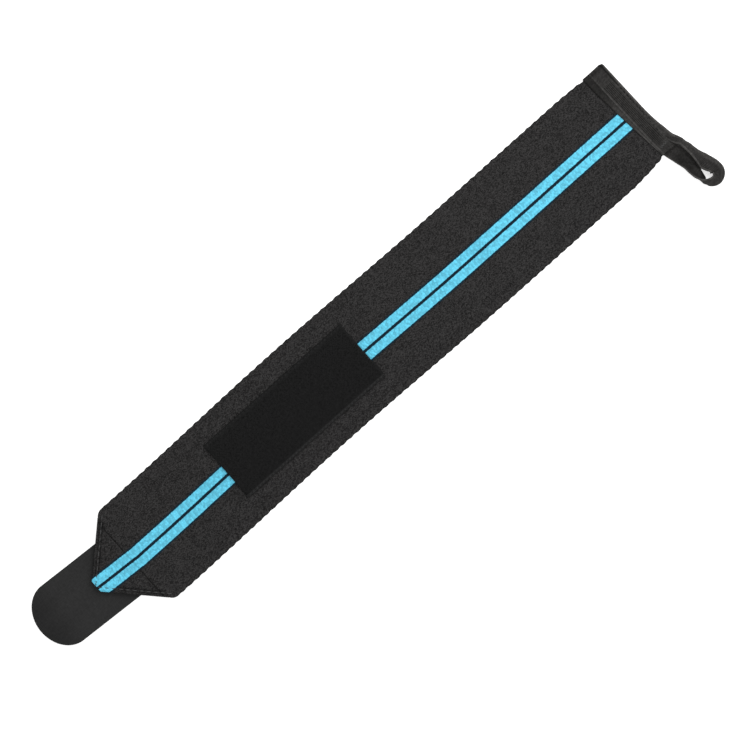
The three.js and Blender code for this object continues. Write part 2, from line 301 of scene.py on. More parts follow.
def seam_dip(band, x, y):
    """How deep the point's seams draw the face in: along both folded edges and straight across."""
    shoulder = shoulder_x(band)
    out = np.abs(y - band_drift(band, x))
    from_fold = (x - POINT_X - out) / math.sqrt(2)
    fold_seam = np.exp(-((from_fold - 3 * MM) / (0.9 * MM)) ** 2) * (x < shoulder - 3 * MM)
    cross_seam = np.exp(-((x - shoulder + 5 * MM) / (0.8 * MM)) ** 2)
    return 0.3 * MM * np.maximum(fold_seam, cross_seam)


def band_face(band, tape, x, y):
    """Height of the band's face, without the relief of its weave."""
    upper, lower = band_sides(band, x)
    bottom = np.where(x < shoulder_x(band), FOLD_BOTTOM, band_underside(band, tape, x))
    top = band_underside(band, tape, x) + band.thickness
    half_height = (top - bottom) / 2
    from_edge = np.maximum(0, np.minimum(upper - y, y - lower))
    from_edge = np.minimum(from_edge, x - BAND_START_X + 0.2 * MM)
    swell = edge_swell(from_edge, np.minimum(half_height, 0.98 * (upper - lower) / 2))
    return top - half_height * (1 - swell) - seam_dip(band, x, y) * swell


def cloth_object(name, points, faces, places, tones):
    """A mesh object with its cloth's own flat coordinates as a UV map, in metres, and the attribute
    tone, below 1 for painted shade where a seam presses the cloth, in a groove and on an edge that turns down."""
    mesh = bpy.data.meshes.new(name)
    mesh.from_pydata(points, [], faces)
    corners = np.empty(len(mesh.loops), dtype=np.int32)
    mesh.loops.foreach_get("vertex_index", corners)
    flat = mesh.uv_layers.new(name="cloth")
    flat.data.foreach_set("uv", np.asarray(places, dtype=np.float32)[corners].ravel())
    tone = mesh.attributes.new("tone", "FLOAT", "POINT")
    tone.data.foreach_set("value", np.asarray(tones, dtype=np.float32))
    mesh.validate()
    mesh.shade_smooth()
    piece = bpy.data.objects.new(name, mesh)
    bpy.context.scene.collection.objects.link(piece)
    return piece


def layered_cloth(name, columns, sides, top, bottom, spacing, back_spacing, edge_steps, place, tone):
    """A closed sheet of cloth between two sides, in columns across it. Its rows keep to a grid, apart
    from a few that follow each edge, so the weave's relief runs straight."""
    upper, lower = sides
    half = (upper - lower) / 2
    margin = edge_steps[-1]
    shrink = np.minimum(1, 0.98 * half / margin)
    steps = np.asarray(edge_steps)[None, :] * shrink[:, None]
    points, places, tones, layers = [], [], [], []
    for row_spacing, heights in ((spacing, top), (back_spacing, bottom)):
        grid = np.arange(math.floor(lower.min() / row_spacing), math.ceil(upper.max() / row_spacing) + 1)
        rows = np.clip(
            grid[None, :] * row_spacing,
            (lower + steps[:, -1])[:, None],
            (upper - steps[:, -1])[:, None],
        )
        rows = np.hstack([lower[:, None] + steps[:, :-1], rows, upper[:, None] - steps[:, -2::-1]])
        across_all = columns[:, None] + 0 * rows
        shade = tone(across_all, rows) if heights is top else 1
        layers.append((rows, heights(across_all, rows), shade + 0 * rows))
    ids = []
    for number, (rows, level, shade) in enumerate(layers):
        table = np.empty(rows.shape, dtype=np.int64)
        for i in range(rows.shape[0]):
            previous = None
            for j in range(rows.shape[1]):
                edge = j == 0 or j == rows.shape[1] - 1
                if number == 1 and edge:
                    table[i, j] = ids[0][i, 0 if j == 0 else -1]
                    previous = rows[i, j]
                    continue
                if previous is not None and rows[i, j] - previous < 1e-7:
                    table[i, j] = table[i, j - 1]
                    continue
                table[i, j] = len(points)
                points.append((columns[i], rows[i, j], level[i, j]))
                places.append(place(columns[i], rows[i, j]))
                tones.append(shade[i, j])
                previous = rows[i, j]
        ids.append(table)
    faces = []
    for number, table in enumerate(ids):
        corners = (table[:-1, :-1], table[1:, :-1], table[1:, 1:], table[:-1, 1:])
        if number == 1:
            corners = corners[::-1]
        for quad in np.stack(corners, axis=-1).reshape(-1, 4):
            loop = list(dict.fromkeys(quad.tolist()))
            if len(loop) > 2:
                faces.append(loop)
    for column, order in ((-1, 1), (0, -1)):
        ring = list(dict.fromkeys([*ids[1][column].tolist(), *ids[0][column][::-1].tolist()]))
        if len(ring) > 2:
            faces.append(ring[::order])
    return cloth_object(name, points, faces, places, tones)


def add_node(tree, kind, settings=None, inputs=None):
    """Adds a node. An input takes a value or another node's socket."""
    node = tree.nodes.new(kind)
    for name, value in (settings or {}).items():
        setattr(node, name, value)
    for key, value in (inputs or {}).items():
        if isinstance(value, bpy.types.NodeSocket):
            tree.links.new(value, node.inputs[key])
        else:
            node.inputs[key].default_value = value
    return node


def cloth_material(name, colour, roughness, sheen, specular, detail, toned=True):
    """A cloth's material. detail draws its pattern, and gives back the colour and the bump's height.
    A toned cloth is darker where its mesh's attribute tone paints shade, and lighter where it paints light."""
    material = bpy.data.materials.new(name)
    material.use_nodes = True
    tree = material.node_tree
    tree.nodes.clear()
    shade, height, distance = detail(tree, colour)
    if toned:
        tone = add_node(tree, "ShaderNodeAttribute", {"attribute_name": "tone"})
        shade = add_node(
            tree,
            "ShaderNodeVectorMath",
            {"operation": "SCALE"},
            {0: shade, "Scale": tone.outputs["Fac"]},
        ).outputs["Vector"]
    bump = add_node(
        tree,
        "ShaderNodeBump",
        inputs={"Strength": 1, "Distance": distance, "Height": height},
    )
    rough = add_node(
        tree,
        "ShaderNodeMapRange",
        inputs={"Value": height, "To Min": min(1, roughness + 0.08), "To Max": roughness - 0.08},
    )
    shader = add_node(
        tree,
        "ShaderNodeBsdfPrincipled",
        inputs={
            "Base Color": shade,
            "Roughness": rough.outputs["Result"],
            "Normal": bump.outputs["Normal"],
            "Specular IOR Level": specular,
            "Sheen Weight": sheen,
            "Sheen Roughness": 0.5,
        },
    )
    add_node(tree, "ShaderNodeOutputMaterial", inputs={"Surface": shader.outputs["BSDF"]})
    return material


def cloth_places(tree, along, across):
    """The cloth's own coordinates, counted in threads of these sizes."""
    flat = add_node(tree, "ShaderNodeUVMap", {"uv_map": "cloth"})
    return add_node(
        tree,
        "ShaderNodeMapping",
        inputs={"Vector": flat.outputs["UV"], "Scale": (1 / along, 1 / across, 1)},
    ).outputs["Vector"]


def woven_elastic_detail(tree, colour):
    """Covered rubber threads, each cell of the weave a little lighter or darker, over a slow mottling,
    with finer dark gaps between the cells."""
    cells = add_node(
        tree,
        "ShaderNodeTexVoronoi",
        {"feature": "F1", "voronoi_dimensions": "2D"},
        {"Vector": cloth_places(tree, 0.72 * MM, 0.6 * MM), "Scale": 1, "Randomness": 0.8},
    )
    single = add_node(tree, "ShaderNodeSeparateColor", inputs={"Color": cells.outputs["Color"]})
    gaps = add_node(
        tree,
        "ShaderNodeMapRange",
        inputs={"Value": cells.outputs["Distance"], "From Max": 0.75, "To Min": 1, "To Max": 0},
    )
    slow = add_node(
        tree,
        "ShaderNodeTexNoise",
        {"noise_dimensions": "2D"},
        {"Vector": cloth_places(tree, 14 * MM, 8 * MM), "Scale": 1, "Detail": 1},
    )
    mottle = add_node(
        tree,
        "ShaderNodeMapRange",
        inputs={"Value": slow.outputs["Fac"], "From Min": 0.3, "From Max": 0.7, "To Min": 0.95, "To Max": 1.05},
    )
    fleck = add_node(
        tree,
        "ShaderNodeMapRange",
        inputs={"Value": single.outputs["Red"], "To Min": 0.4, "To Max": 1.6},
    )
    both = add_node(
        tree,
        "ShaderNodeMath",
        {"operation": "MULTIPLY"},
        {0: fleck.outputs["Result"], 1: mottle.outputs["Result"]},
    )
    depth = add_node(
        tree,
        "ShaderNodeMapRange",
        inputs={"Value": gaps.outputs["Result"], "To Min": 0.55, "To Max": 1.1},
    )
    shade = add_node(
        tree,
        "ShaderNodeMath",
        {"operation": "MULTIPLY"},
        {0: both.outputs["Value"], 1: depth.outputs["Result"]},
    )
    tinted = add_node(
        tree,
        "ShaderNodeVectorMath",
        {"operation": "SCALE"},
        {0: tuple(colour)[:3], "Scale": shade.outputs["Value"]},
    )
    return tinted.outputs["Vector"], gaps.outputs["Result"], 0.25 * MM


def stripe_detail(tree, colour, outline, half_width):
    """Smooth yarn laid across the stripe in close picks, deep blue along both edges where it dives
    between the black threads."""
    picks = add_node(
        tree,
        "ShaderNodeTexVoronoi",
        {"feature": "F1", "voronoi_dimensions": "2D"},
        {"Vector": cloth_places(tree, 1.3 * MM, 1.6 * MM), "Scale": 1, "Randomness": 0.8},
    )
    single = add_node(tree, "ShaderNodeSeparateColor", inputs={"Color": picks.outputs["Color"]})
    gaps = add_node(
        tree,
        "ShaderNodeMapRange",
        inputs={"Value": picks.outputs["Distance"], "From Max": 0.8, "To Min": 1, "To Max": 0},
    )
    fleck = add_node(
        tree,
        "ShaderNodeMapRange",
        inputs={"Value": single.outputs["Green"], "To Min": 0.74, "To Max": 1.14},
    )
    depth = add_node(
        tree,
        "ShaderNodeMapRange",
        inputs={"Value": gaps.outputs["Result"], "To Min": 0.86, "To Max": 1.04},
    )
    shade = add_node(
        tree,
        "ShaderNodeMath",
        {"operation": "MULTIPLY"},
        {0: fleck.outputs["Result"], 1: depth.outputs["Result"]},
    )
    yarn = add_node(
        tree,
        "ShaderNodeVectorMath",
        {"operation": "SCALE"},
        {0: tuple(colour)[:3], "Scale": shade.outputs["Value"]},
    )
    flat = add_node(tree, "ShaderNodeUVMap", {"uv_map": "cloth"})
    parts = add_node(tree, "ShaderNodeSeparateXYZ", inputs={"Vector": flat.outputs["UV"]})
    from_middle = add_node(tree, "ShaderNodeMath", {"operation": "ABSOLUTE"}, {0: parts.outputs["Y"]})
    ragged = add_node(
        tree,
        "ShaderNodeTexNoise",
        {"noise_dimensions": "2D"},
        {"Vector": cloth_places(tree, 0.9 * MM, 0.9 * MM), "Scale": 1},
    )
    wavy = add_node(
        tree,
        "ShaderNodeMath",
        {"operation": "MULTIPLY_ADD"},
        {0: ragged.outputs["Fac"], 1: 0.6 * MM, 2: from_middle.outputs["Value"]},
    )
    at_edge = add_node(
        tree,
        "ShaderNodeMapRange",
        {"interpolation_type": "SMOOTHSTEP"},
        {"Value": wavy.outputs["Value"], "From Min": half_width - 0.2 * MM, "From Max": half_width},
    )
    mixed = add_node(
        tree,
        "ShaderNodeMix",
        {"data_type": "RGBA"},
        {0: at_edge.outputs["Result"], 6: yarn.outputs["Vector"], 7: tuple(outline)},
    )
    return mixed.outputs[2], gaps.outputs["Result"], 0.12 * MM


def pile_detail(tree, colour):
    """Crinkled nylon filaments that take the light in tiny points."""
    fibres = add_node(
        tree,
        "ShaderNodeTexNoise",
        inputs={
            "Vector": add_node(tree, "ShaderNodeTexCoord").outputs["Object"],
            "Scale": 1 / (0.7 * MM),
            "Detail": 4,
        },
    )
    shade = add_node(
        tree,
        "ShaderNodeMapRange",
        inputs={"Value": fibres.outputs["Fac"], "From Min": 0.3, "From Max": 0.7, "To Min": 0.4, "To Max": 1.7},
    )
    tinted = add_node(
        tree,
        "ShaderNodeVectorMath",
        {"operation": "SCALE"},
        {0: tuple(colour)[:3], "Scale": shade.outputs["Result"]},
    )
    return tinted.outputs["Vector"], fibres.outputs["Fac"], 0.1 * MM


def plain_tape_detail(tree, colour):
    """A close flat weave, so fine that it shows as faint lengthwise and crosswise lines."""
    threads = add_node(
        tree,
        "ShaderNodeTexNoise",
        {"noise_dimensions": "2D"},
        {"Vector": cloth_places(tree, 3.2 * MM, 0.9 * MM), "Scale": 1, "Detail": 3},
    )
    crossing = add_node(
        tree,
        "ShaderNodeTexNoise",
        {"noise_dimensions": "2D"},
        {"Vector": cloth_places(tree, 0.9 * MM, 3.2 * MM), "Scale": 1, "Detail": 3},
    )
    weave = add_node(
        tree,
        "ShaderNodeMath",
        {"operation": "ADD"},
        {0: threads.outputs["Fac"], 1: crossing.outputs["Fac"]},
    )
    height = add_node(
        tree,
        "ShaderNodeMapRange",
        inputs={"Value": weave.outputs["Value"], "From Min": 0.7, "From Max": 1.3},
    )
    shade = add_node(
        tree,
        "ShaderNodeMapRange",
        inputs={"Value": height.outputs["Result"], "To Min": 0.88, "To Max": 1.12},
    )
    tinted = add_node(
        tree,
        "ShaderNodeVectorMath",
        {"operation": "SCALE"},
        {0: tuple(colour)[:3], "Scale": shade.outputs["Result"]},
    )
    return tinted.outputs["Vector"], height.outputs["Result"], 0.05 * MM


def elastic_tape_detail(tree, colour):
    """Short crosswise yarns over lengthwise ribs, lighter on the tape's two selvages, partly their own yarn and
    partly a painted highlight where the rims catch the light.
    """
    yarns = add_node(
        tree,
        "ShaderNodeTexVoronoi",
        {"feature": "F1", "voronoi_dimensions": "2D"},
        {"Vector": cloth_places(tree, 0.9 * MM, 1.2 * MM), "Scale": 1, "Randomness": 0.8},
    )
    single = add_node(tree, "ShaderNodeSeparateColor", inputs={"Color": yarns.outputs["Color"]})
    height = add_node(
        tree,
        "ShaderNodeMapRange",
        inputs={"Value": yarns.outputs["Distance"], "From Max": 0.75, "To Min": 1, "To Max": 0},
    )
    fleck = add_node(
        tree,
        "ShaderNodeMapRange",
        inputs={"Value": single.outputs["Blue"], "To Min": 0.75, "To Max": 1.25},
    )
    flat = add_node(tree, "ShaderNodeUVMap", {"uv_map": "cloth"})
    parts = add_node(tree, "ShaderNodeSeparateXYZ", inputs={"Vector": flat.outputs["UV"]})
    from_middle = add_node(tree, "ShaderNodeMath", {"operation": "ABSOLUTE"}, {0: parts.outputs["Y"]})
    # Lighter selvages: partly their own yarn, partly a painted highlight on the rims
    selvage = add_node(
        tree,
        "ShaderNodeMapRange",
        {"interpolation_type": "SMOOTHSTEP"},
        {
            "Value": from_middle.outputs["Value"],
            "From Min": 4.9 * MM,
            "From Max": 5.6 * MM,
            "To Min": 1,
            "To Max": 1.6,
        },
    )
    shade = add_node(
        tree,
        "ShaderNodeMath",
        {"operation": "MULTIPLY"},
        {0: fleck.outputs["Result"], 1: selvage.outputs["Result"]},
    )
    tinted = add_node(
        tree,
        "ShaderNodeVectorMath",
        {"operation": "SCALE"},
        {0: tuple(colour)[:3], "Scale": shade.outputs["Value"]},
    )
    return tinted.outputs["Vector"], height.outputs["Result"], 0.1 * MM


def thread_detail(tree, colour):
    """Twisted polyester, with the plies' light and dark along each stitch."""
    plies = add_node(
        tree,
        "ShaderNodeTexNoise",
        inputs={
            "Vector": add_node(tree, "ShaderNodeTexCoord").outputs["Object"],
            "Scale": 1 / (0.5 * MM),
            "Detail": 2,
        },
    )
    shade = add_node(
        tree,
        "ShaderNodeMapRange",
        inputs={"Value": plies.outputs["Fac"], "From Min": 0.3, "From Max": 0.7, "To Min": 0.75, "To Max": 1.3},
    )
    tinted = add_node(
        tree,
        "ShaderNodeVectorMath",
        {"operation": "SCALE"},
        {0: tuple(colour)[:3], "Scale": shade.outputs["Result"]},
    )
    return tinted.outputs["Vector"], plies.outputs["Fac"], 0.05 * MM


def studio_paper():
    """Matt white background paper, seamless, with only a faint tooth, lit from beneath so that it
    stays white in the object's shade."""
    material = bpy.data.materials.new("matt_studio_paper")
    material.use_nodes = True
    tree = material.node_tree
    tree.nodes.clear()
    tooth = add_node(
        tree,
        "ShaderNodeTexNoise",
        inputs={
            "Vector": add_node(tree, "ShaderNodeTexCoord").outputs["Object"],
            "Scale": 1 / (2 * MM),
        },
    )
    bump = add_node(
        tree,
        "ShaderNodeBump",
        inputs={"Strength": 0.1, "Distance": 0.02 * MM, "Height": tooth.outputs["Fac"]},
    )
    shader = add_node(
        tree,
        "ShaderNodeBsdfPrincipled",
        inputs={
            "Base Color": from_hex("F4F4F3"),
            "Roughness": 0.9,
            "Specular IOR Level": 0.1,
            "Emission Color": from_hex("FFFFFF"),
            "Emission Strength": 0.6,
            "Normal": bump.outputs["Normal"],
        },
    )
    add_node(tree, "ShaderNodeOutputMaterial", inputs={"Surface": shader.outputs["BSDF"]})
    return material


def new_tree(name, inputs):
    """A geometry tree with its named inputs, and the sockets that they come out of."""
    tree = bpy.data.node_groups.new(name, "GeometryNodeTree")
    tree.interface.new_socket("Geometry", in_out="OUTPUT", socket_type="NodeSocketGeometry")
    tree.interface.new_socket("Geometry", in_out="INPUT", socket_type="NodeSocketGeometry")
    for label, kind in inputs:
        tree.interface.new_socket(label, in_out="INPUT", socket_type=kind)
    return tree, add_node(tree, "NodeGroupInput").outputs


def finish_tree(tree, geometry, material):
    """Ends a tree in plain mesh with its material."""
    real = add_node(tree, "GeometryNodeRealizeInstances", inputs={0: geometry})
    painted = add_node(
        tree,
        "GeometryNodeSetMaterial",
        inputs={"Geometry": real.outputs[0], "Material": material},
    )
    add_node(tree, "NodeGroupOutput", inputs={0: painted.outputs[0]})
    return tree


def stitch_tree():
    """Stitches along the modifier's own line: one at each pitch, turned from side to side by the slant."""
    tree, given = new_tree(
        "stitch_row",
        (
            ("Pitch", "NodeSocketFloat"),
            ("Stitch Length", "NodeSocketFloat"),
            ("Thread", "NodeSocketFloat"),
            ("Slant", "NodeSocketFloat"),
            ("Seed", "NodeSocketInt"),
            ("Material", "NodeSocketMaterial"),
        ),
    )
    line = add_node(tree, "GeometryNodeMeshToCurve", inputs={"Mesh": given["Geometry"]})
    places = add_node(
        tree,
        "GeometryNodeCurveToPoints",
        {"mode": "LENGTH"},
        {"Curve": line.outputs["Curve"], "Length": given["Pitch"]},
    )
    number = add_node(tree, "GeometryNodeInputIndex")
    odd = add_node(
        tree,
        "ShaderNodeMath",
        {"operation": "PINGPONG"},
        {0: number.outputs["Index"], 1: 1},
    )
    side = add_node(
        tree,
        "ShaderNodeMath",
        {"operation": "MULTIPLY_ADD"},
        {0: odd.outputs["Value"], 1: 2, 2: -1},
    )
    angle = add_node(
        tree,
        "ShaderNodeMath",
        {"operation": "MULTIPLY"},
        {0: side.outputs["Value"], 1: given["Slant"]},
    )
    turned = add_node(
        tree,
        "ShaderNodeVectorRotate",
        {"rotation_type": "AXIS_ANGLE"},
        {
            "Vector": places.outputs["Tangent"],
            "Axis": (0, 0, 1),
            "Angle": angle.outputs["Value"],
        },
    )
    aimed = add_node(
        tree,
        "FunctionNodeAlignRotationToVector",
        {"axis": "Z"},
        {"Vector": turned.outputs["Vector"]},
    )
    radius = add_node(
        tree,
        "ShaderNodeMath",
        {"operation": "MULTIPLY"},
        {0: given["Thread"], 1: 0.5},
    )
    stretch = add_node(
        tree,
        "ShaderNodeMath",
        {"operation": "DIVIDE"},
        {0: given["Stitch Length"], 1: given["Thread"]},
    )
    bead = add_node(
        tree,
        "GeometryNodeMeshUVSphere",
        inputs={"Segments": 8, "Rings": 5, "Radius": radius.outputs["Value"]},
    )
    uneven = add_node(
        tree,
        "FunctionNodeRandomValue",
        {"data_type": "FLOAT"},
        {"Min": 0.85, "Max": 1.12, "Seed": given["Seed"]},
    )
    long = add_node(
        tree,
        "ShaderNodeMath",
        {"operation": "MULTIPLY"},
        {0: stretch.outputs["Value"], 1: uneven.outputs[1]},
    )
    size = add_node(
        tree,
        "ShaderNodeCombineXYZ",
        inputs={"X": 1, "Y": 1, "Z": long.outputs["Value"]},
    )
    stitches = add_node(
        tree,
        "GeometryNodeInstanceOnPoints",
        inputs={
            "Points": places.outputs["Points"],
            "Instance": bead.outputs["Mesh"],
            "Rotation": aimed.outputs["Rotation"],
            "Scale": size.outputs["Vector"],
        },
    )
    return finish_tree(tree, stitches.outputs["Instances"], given["Material"])


def field_points(tree, given):
    """Staggered rows of points, only where the modifier's own flat face lies under them."""
    grid = add_node(
        tree,
        "GeometryNodeMeshGrid",
        inputs={
            "Size X": given["Length"],
            "Size Y": given["Width"],
            "Vertices X": given["Columns"],
            "Vertices Y": given["Rows"],
        },
    )
    number = add_node(tree, "GeometryNodeInputIndex")
    odd = add_node(
        tree,
        "ShaderNodeMath",
        {"operation": "PINGPONG"},
        {0: number.outputs["Index"], 1: 1},
    )
    stagger = add_node(
        tree,
        "ShaderNodeMath",
        {"operation": "MULTIPLY"},
        {0: odd.outputs["Value"], 1: given["Stagger"]},
    )
    astray = add_node(
        tree,
        "FunctionNodeRandomValue",
        {"data_type": "FLOAT_VECTOR"},
        {"Min": (-1, -1, 0), "Max": (1, 1, 0), "Seed": given["Seed"]},
    )
    small = add_node(
        tree,
        "ShaderNodeVectorMath",
        {"operation": "SCALE"},
        {0: astray.outputs[0], "Scale": given["Scatter"]},
    )
    offset = add_node(tree, "ShaderNodeCombineXYZ", inputs={"X": stagger.outputs["Value"]})
    both = add_node(
        tree,
        "ShaderNodeVectorMath",
        {"operation": "ADD"},
        {0: offset.outputs["Vector"], 1: small.outputs["Vector"]},
    )
    placed = add_node(
        tree,
        "ShaderNodeVectorMath",
        {"operation": "ADD"},
        {0: both.outputs["Vector"], 1: given["Middle"]},
    )
    moved = add_node(
        tree,
        "GeometryNodeSetPosition",
        inputs={"Geometry": grid.outputs["Mesh"], "Offset": placed.outputs["Vector"]},
    )
    here = add_node(tree, "GeometryNodeInputPosition")
    above = add_node(
        tree,
        "ShaderNodeVectorMath",
        {"operation": "ADD"},
        {0: here.outputs["Position"], 1: (0, 0, 1)},
    )
    ray = add_node(
        tree,
        "GeometryNodeRaycast",
        inputs={
            "Target Geometry": given["Geometry"],
            "Source Position": above.outputs["Vector"],
            "Ray Direction": (0, 0, -1),
            "Ray Length": 2,
        },
    )
    outside = add_node(
        tree,
        "FunctionNodeBooleanMath",
        {"operation": "NOT"},
        {0: ray.outputs["Is Hit"]},
    )
    kept = add_node(
        tree,
        "GeometryNodeDeleteGeometry",
        {"domain": "POINT"},
        {"Geometry": moved.outputs["Geometry"], "Selection": outside.outputs["Boolean"]},
    )
    return kept.outputs["Geometry"]


FIELD_INPUTS = (
    ("Length", "NodeSocketFloat"),
    ("Width", "NodeSocketFloat"),
    ("Columns", "NodeSocketInt"),
    ("Rows", "NodeSocketInt"),
    ("Middle", "NodeSocketVector"),
    ("Stagger", "NodeSocketFloat"),
    ("Scatter", "NodeSocketFloat"),
    ("Height", "NodeSocketFloat"),
    ("Yarn", "NodeSocketFloat"),
    ("Seed", "NodeSocketInt"),
    ("Material", "NodeSocketMaterial"),
)


def pile_tree():
    """Loops of yarn over a flat face, each leaning and turned its own way."""
    tree, given = new_tree("pile_loops", FIELD_INPUTS)
    points = field_points(tree, given)
    arch = add_node(
        tree,
        "GeometryNodeCurveArc",
        {"mode": "RADIUS"},
        {"Resolution": 6, "Radius": given["Height"], "Start Angle": -0.5, "Sweep Angle": math.pi + 1},
    )
    thick = add_node(tree, "ShaderNodeMath", {"operation": "MULTIPLY"}, {0: given["Yarn"], 1: 0.5})
    ring = add_node(
        tree,
        "GeometryNodeCurvePrimitiveCircle",
        {"mode": "RADIUS"},
        {"Resolution": 3, "Radius": thick.outputs["Value"]},
    )
    loop = add_node(
        tree,
        "GeometryNodeCurveToMesh",
        inputs={"Curve": arch.outputs["Curve"], "Profile Curve": ring.outputs["Curve"], "Fill Caps": True},
    )
    narrow = add_node(
        tree,
        "GeometryNodeTransform",
        inputs={
            "Geometry": loop.outputs["Mesh"],
            "Rotation": (math.pi / 2, 0, 0),
            "Scale": (0.75, 1, 1),
        },
    )
    turns = add_node(
        tree,
        "FunctionNodeRandomValue",
        {"data_type": "FLOAT_VECTOR"},
        {"Min": (-0.6, -0.45, 0), "Max": (0.6, 0.45, math.tau), "Seed": given["Seed"]},
    )
    sizes = add_node(
        tree,
        "FunctionNodeRandomValue",
        {"data_type": "FLOAT"},
        {"Min": 0.75, "Max": 1.05, "Seed": given["Seed"]},
    )
    loops = add_node(
        tree,
        "GeometryNodeInstanceOnPoints",
        inputs={
            "Points": points,
            "Instance": narrow.outputs["Geometry"],
            "Rotation": turns.outputs[0],
            "Scale": sizes.outputs[1],
        },
    )
    return finish_tree(tree, loops.outputs["Instances"], given["Material"])


def hook_tree():
    """Hooks that stand down out of a flat face in rows, all bent the same way."""
    tree, given = new_tree("hook_field", FIELD_INPUTS)
    points = field_points(tree, given)
    down = add_node(tree, "ShaderNodeMath", {"operation": "MULTIPLY"}, {0: given["Height"], 1: -1.75})
    tip = add_node(tree, "ShaderNodeMath", {"operation": "MULTIPLY"}, {0: given["Height"], 1: -0.42})
    aside = add_node(tree, "ShaderNodeMath", {"operation": "MULTIPLY"}, {0: given["Height"], 1: 0.62})
    knee = add_node(
        tree,
        "ShaderNodeCombineXYZ",
        inputs={"X": 0.1 * MM, "Z": down.outputs["Value"]},
    )
    end = add_node(
        tree,
        "ShaderNodeCombineXYZ",
        inputs={"X": aside.outputs["Value"], "Z": tip.outputs["Value"]},
    )
    bent = add_node(
        tree,
        "GeometryNodeCurveQuadraticBezier",
        inputs={
            "Resolution": 6,
            "Start": (0, 0, 0),
            "Middle": knee.outputs["Vector"],
            "End": end.outputs["Vector"],
        },
    )
    thick = add_node(tree, "ShaderNodeMath", {"operation": "MULTIPLY"}, {0: given["Yarn"], 1: 0.5})
    ring = add_node(
        tree,
        "GeometryNodeCurvePrimitiveCircle",
        {"mode": "RADIUS"},
        {"Resolution": 4, "Radius": thick.outputs["Value"]},
    )
    hook = add_node(
        tree,
        "GeometryNodeCurveToMesh",
        inputs={"Curve": bent.outputs["Curve"], "Profile Curve": ring.outputs["Curve"], "Fill Caps": True},
    )
    turns = add_node(
        tree,
        "FunctionNodeRandomValue",
        {"data_type": "FLOAT_VECTOR"},
        {"Min": (0, 0, -0.5), "Max": (0, 0, 0.5), "Seed": given["Seed"]},
    )
    hooks = add_node(
        tree,
        "GeometryNodeInstanceOnPoints",
        inputs={
            "Points": points,
            "Instance": hook.outputs["Mesh"],
            "Rotation": turns.outputs[0],
        },
    )
    return finish_tree(tree, hooks.outputs["Instances"], given["Material"])


def grow(name, points, edges, faces, tree, values):
    """Runs a geometry tree on a base mesh, and keeps the result as a plain mesh object."""
    base = bpy.data.meshes.new(name + "_base")
    base.from_pydata(points, edges, faces)
    holder = bpy.data.objects.new(name + "_base", base)
    bpy.context.scene.collection.objects.link(holder)
    modifier = holder.modifiers.new("grow", "NODES")
    modifier.node_group = tree
    sockets = {
        item.name: item.identifier
        for item in tree.interface.items_tree
        if item.item_type == "SOCKET" and item.in_out == "INPUT"
    }
    for label, value in values.items():
        modifier[sockets[label]] = value
    evaluated = holder.evaluated_get(bpy.context.evaluated_depsgraph_get())
    mesh = bpy.data.meshes.new_from_object(evaluated)
    holder.modifiers.clear()
    bpy.data.objects.remove(holder)
    bpy.data.meshes.remove(base)
    if not mesh.polygons:
        raise RuntimeError(f"{name} came out of its tree with no faces")
    mesh.name = name
    mesh.shade_smooth()
    piece = bpy.data.objects.new(name, mesh)
    bpy.context.scene.collection.objects.link(piece)
    return piece


def join_lines(lines):
    """Points and edges of several open lines."""
    points = []
    edges = []
    for line in lines:
        first = len(points)
        points.extend(tuple(point) for point in line)
        edges.extend((i, i + 1) for i in range(first, len(points) - 1))
    return points, edges


def sew(name, lines, pitch, length, thickness, slant, settings, thread):
    """Stitches of one kind along several lines."""
    points, edges = join_lines(lines)
    values = {
        "Pitch": pitch,
        "Stitch Length": length,
        "Thread": thickness,
        "Slant": slant,
        "Seed": settings.seed,
        "Material": thread,
    }
    return grow(name, points, edges, [], stitch_tree(), values)


def finish_piece(piece, material=None):
    if material is not None:
        piece.data.materials.clear()
        piece.data.materials.append(material)
    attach(piece, "root")
    return piece


def settings_of(context):
    scene = context.scene
    return (
        scene.wrap_band,
        scene.wrap_fastener,
        scene.wrap_tape,
        scene.wrap_stitches,
        scene.wrap_colours,
    )


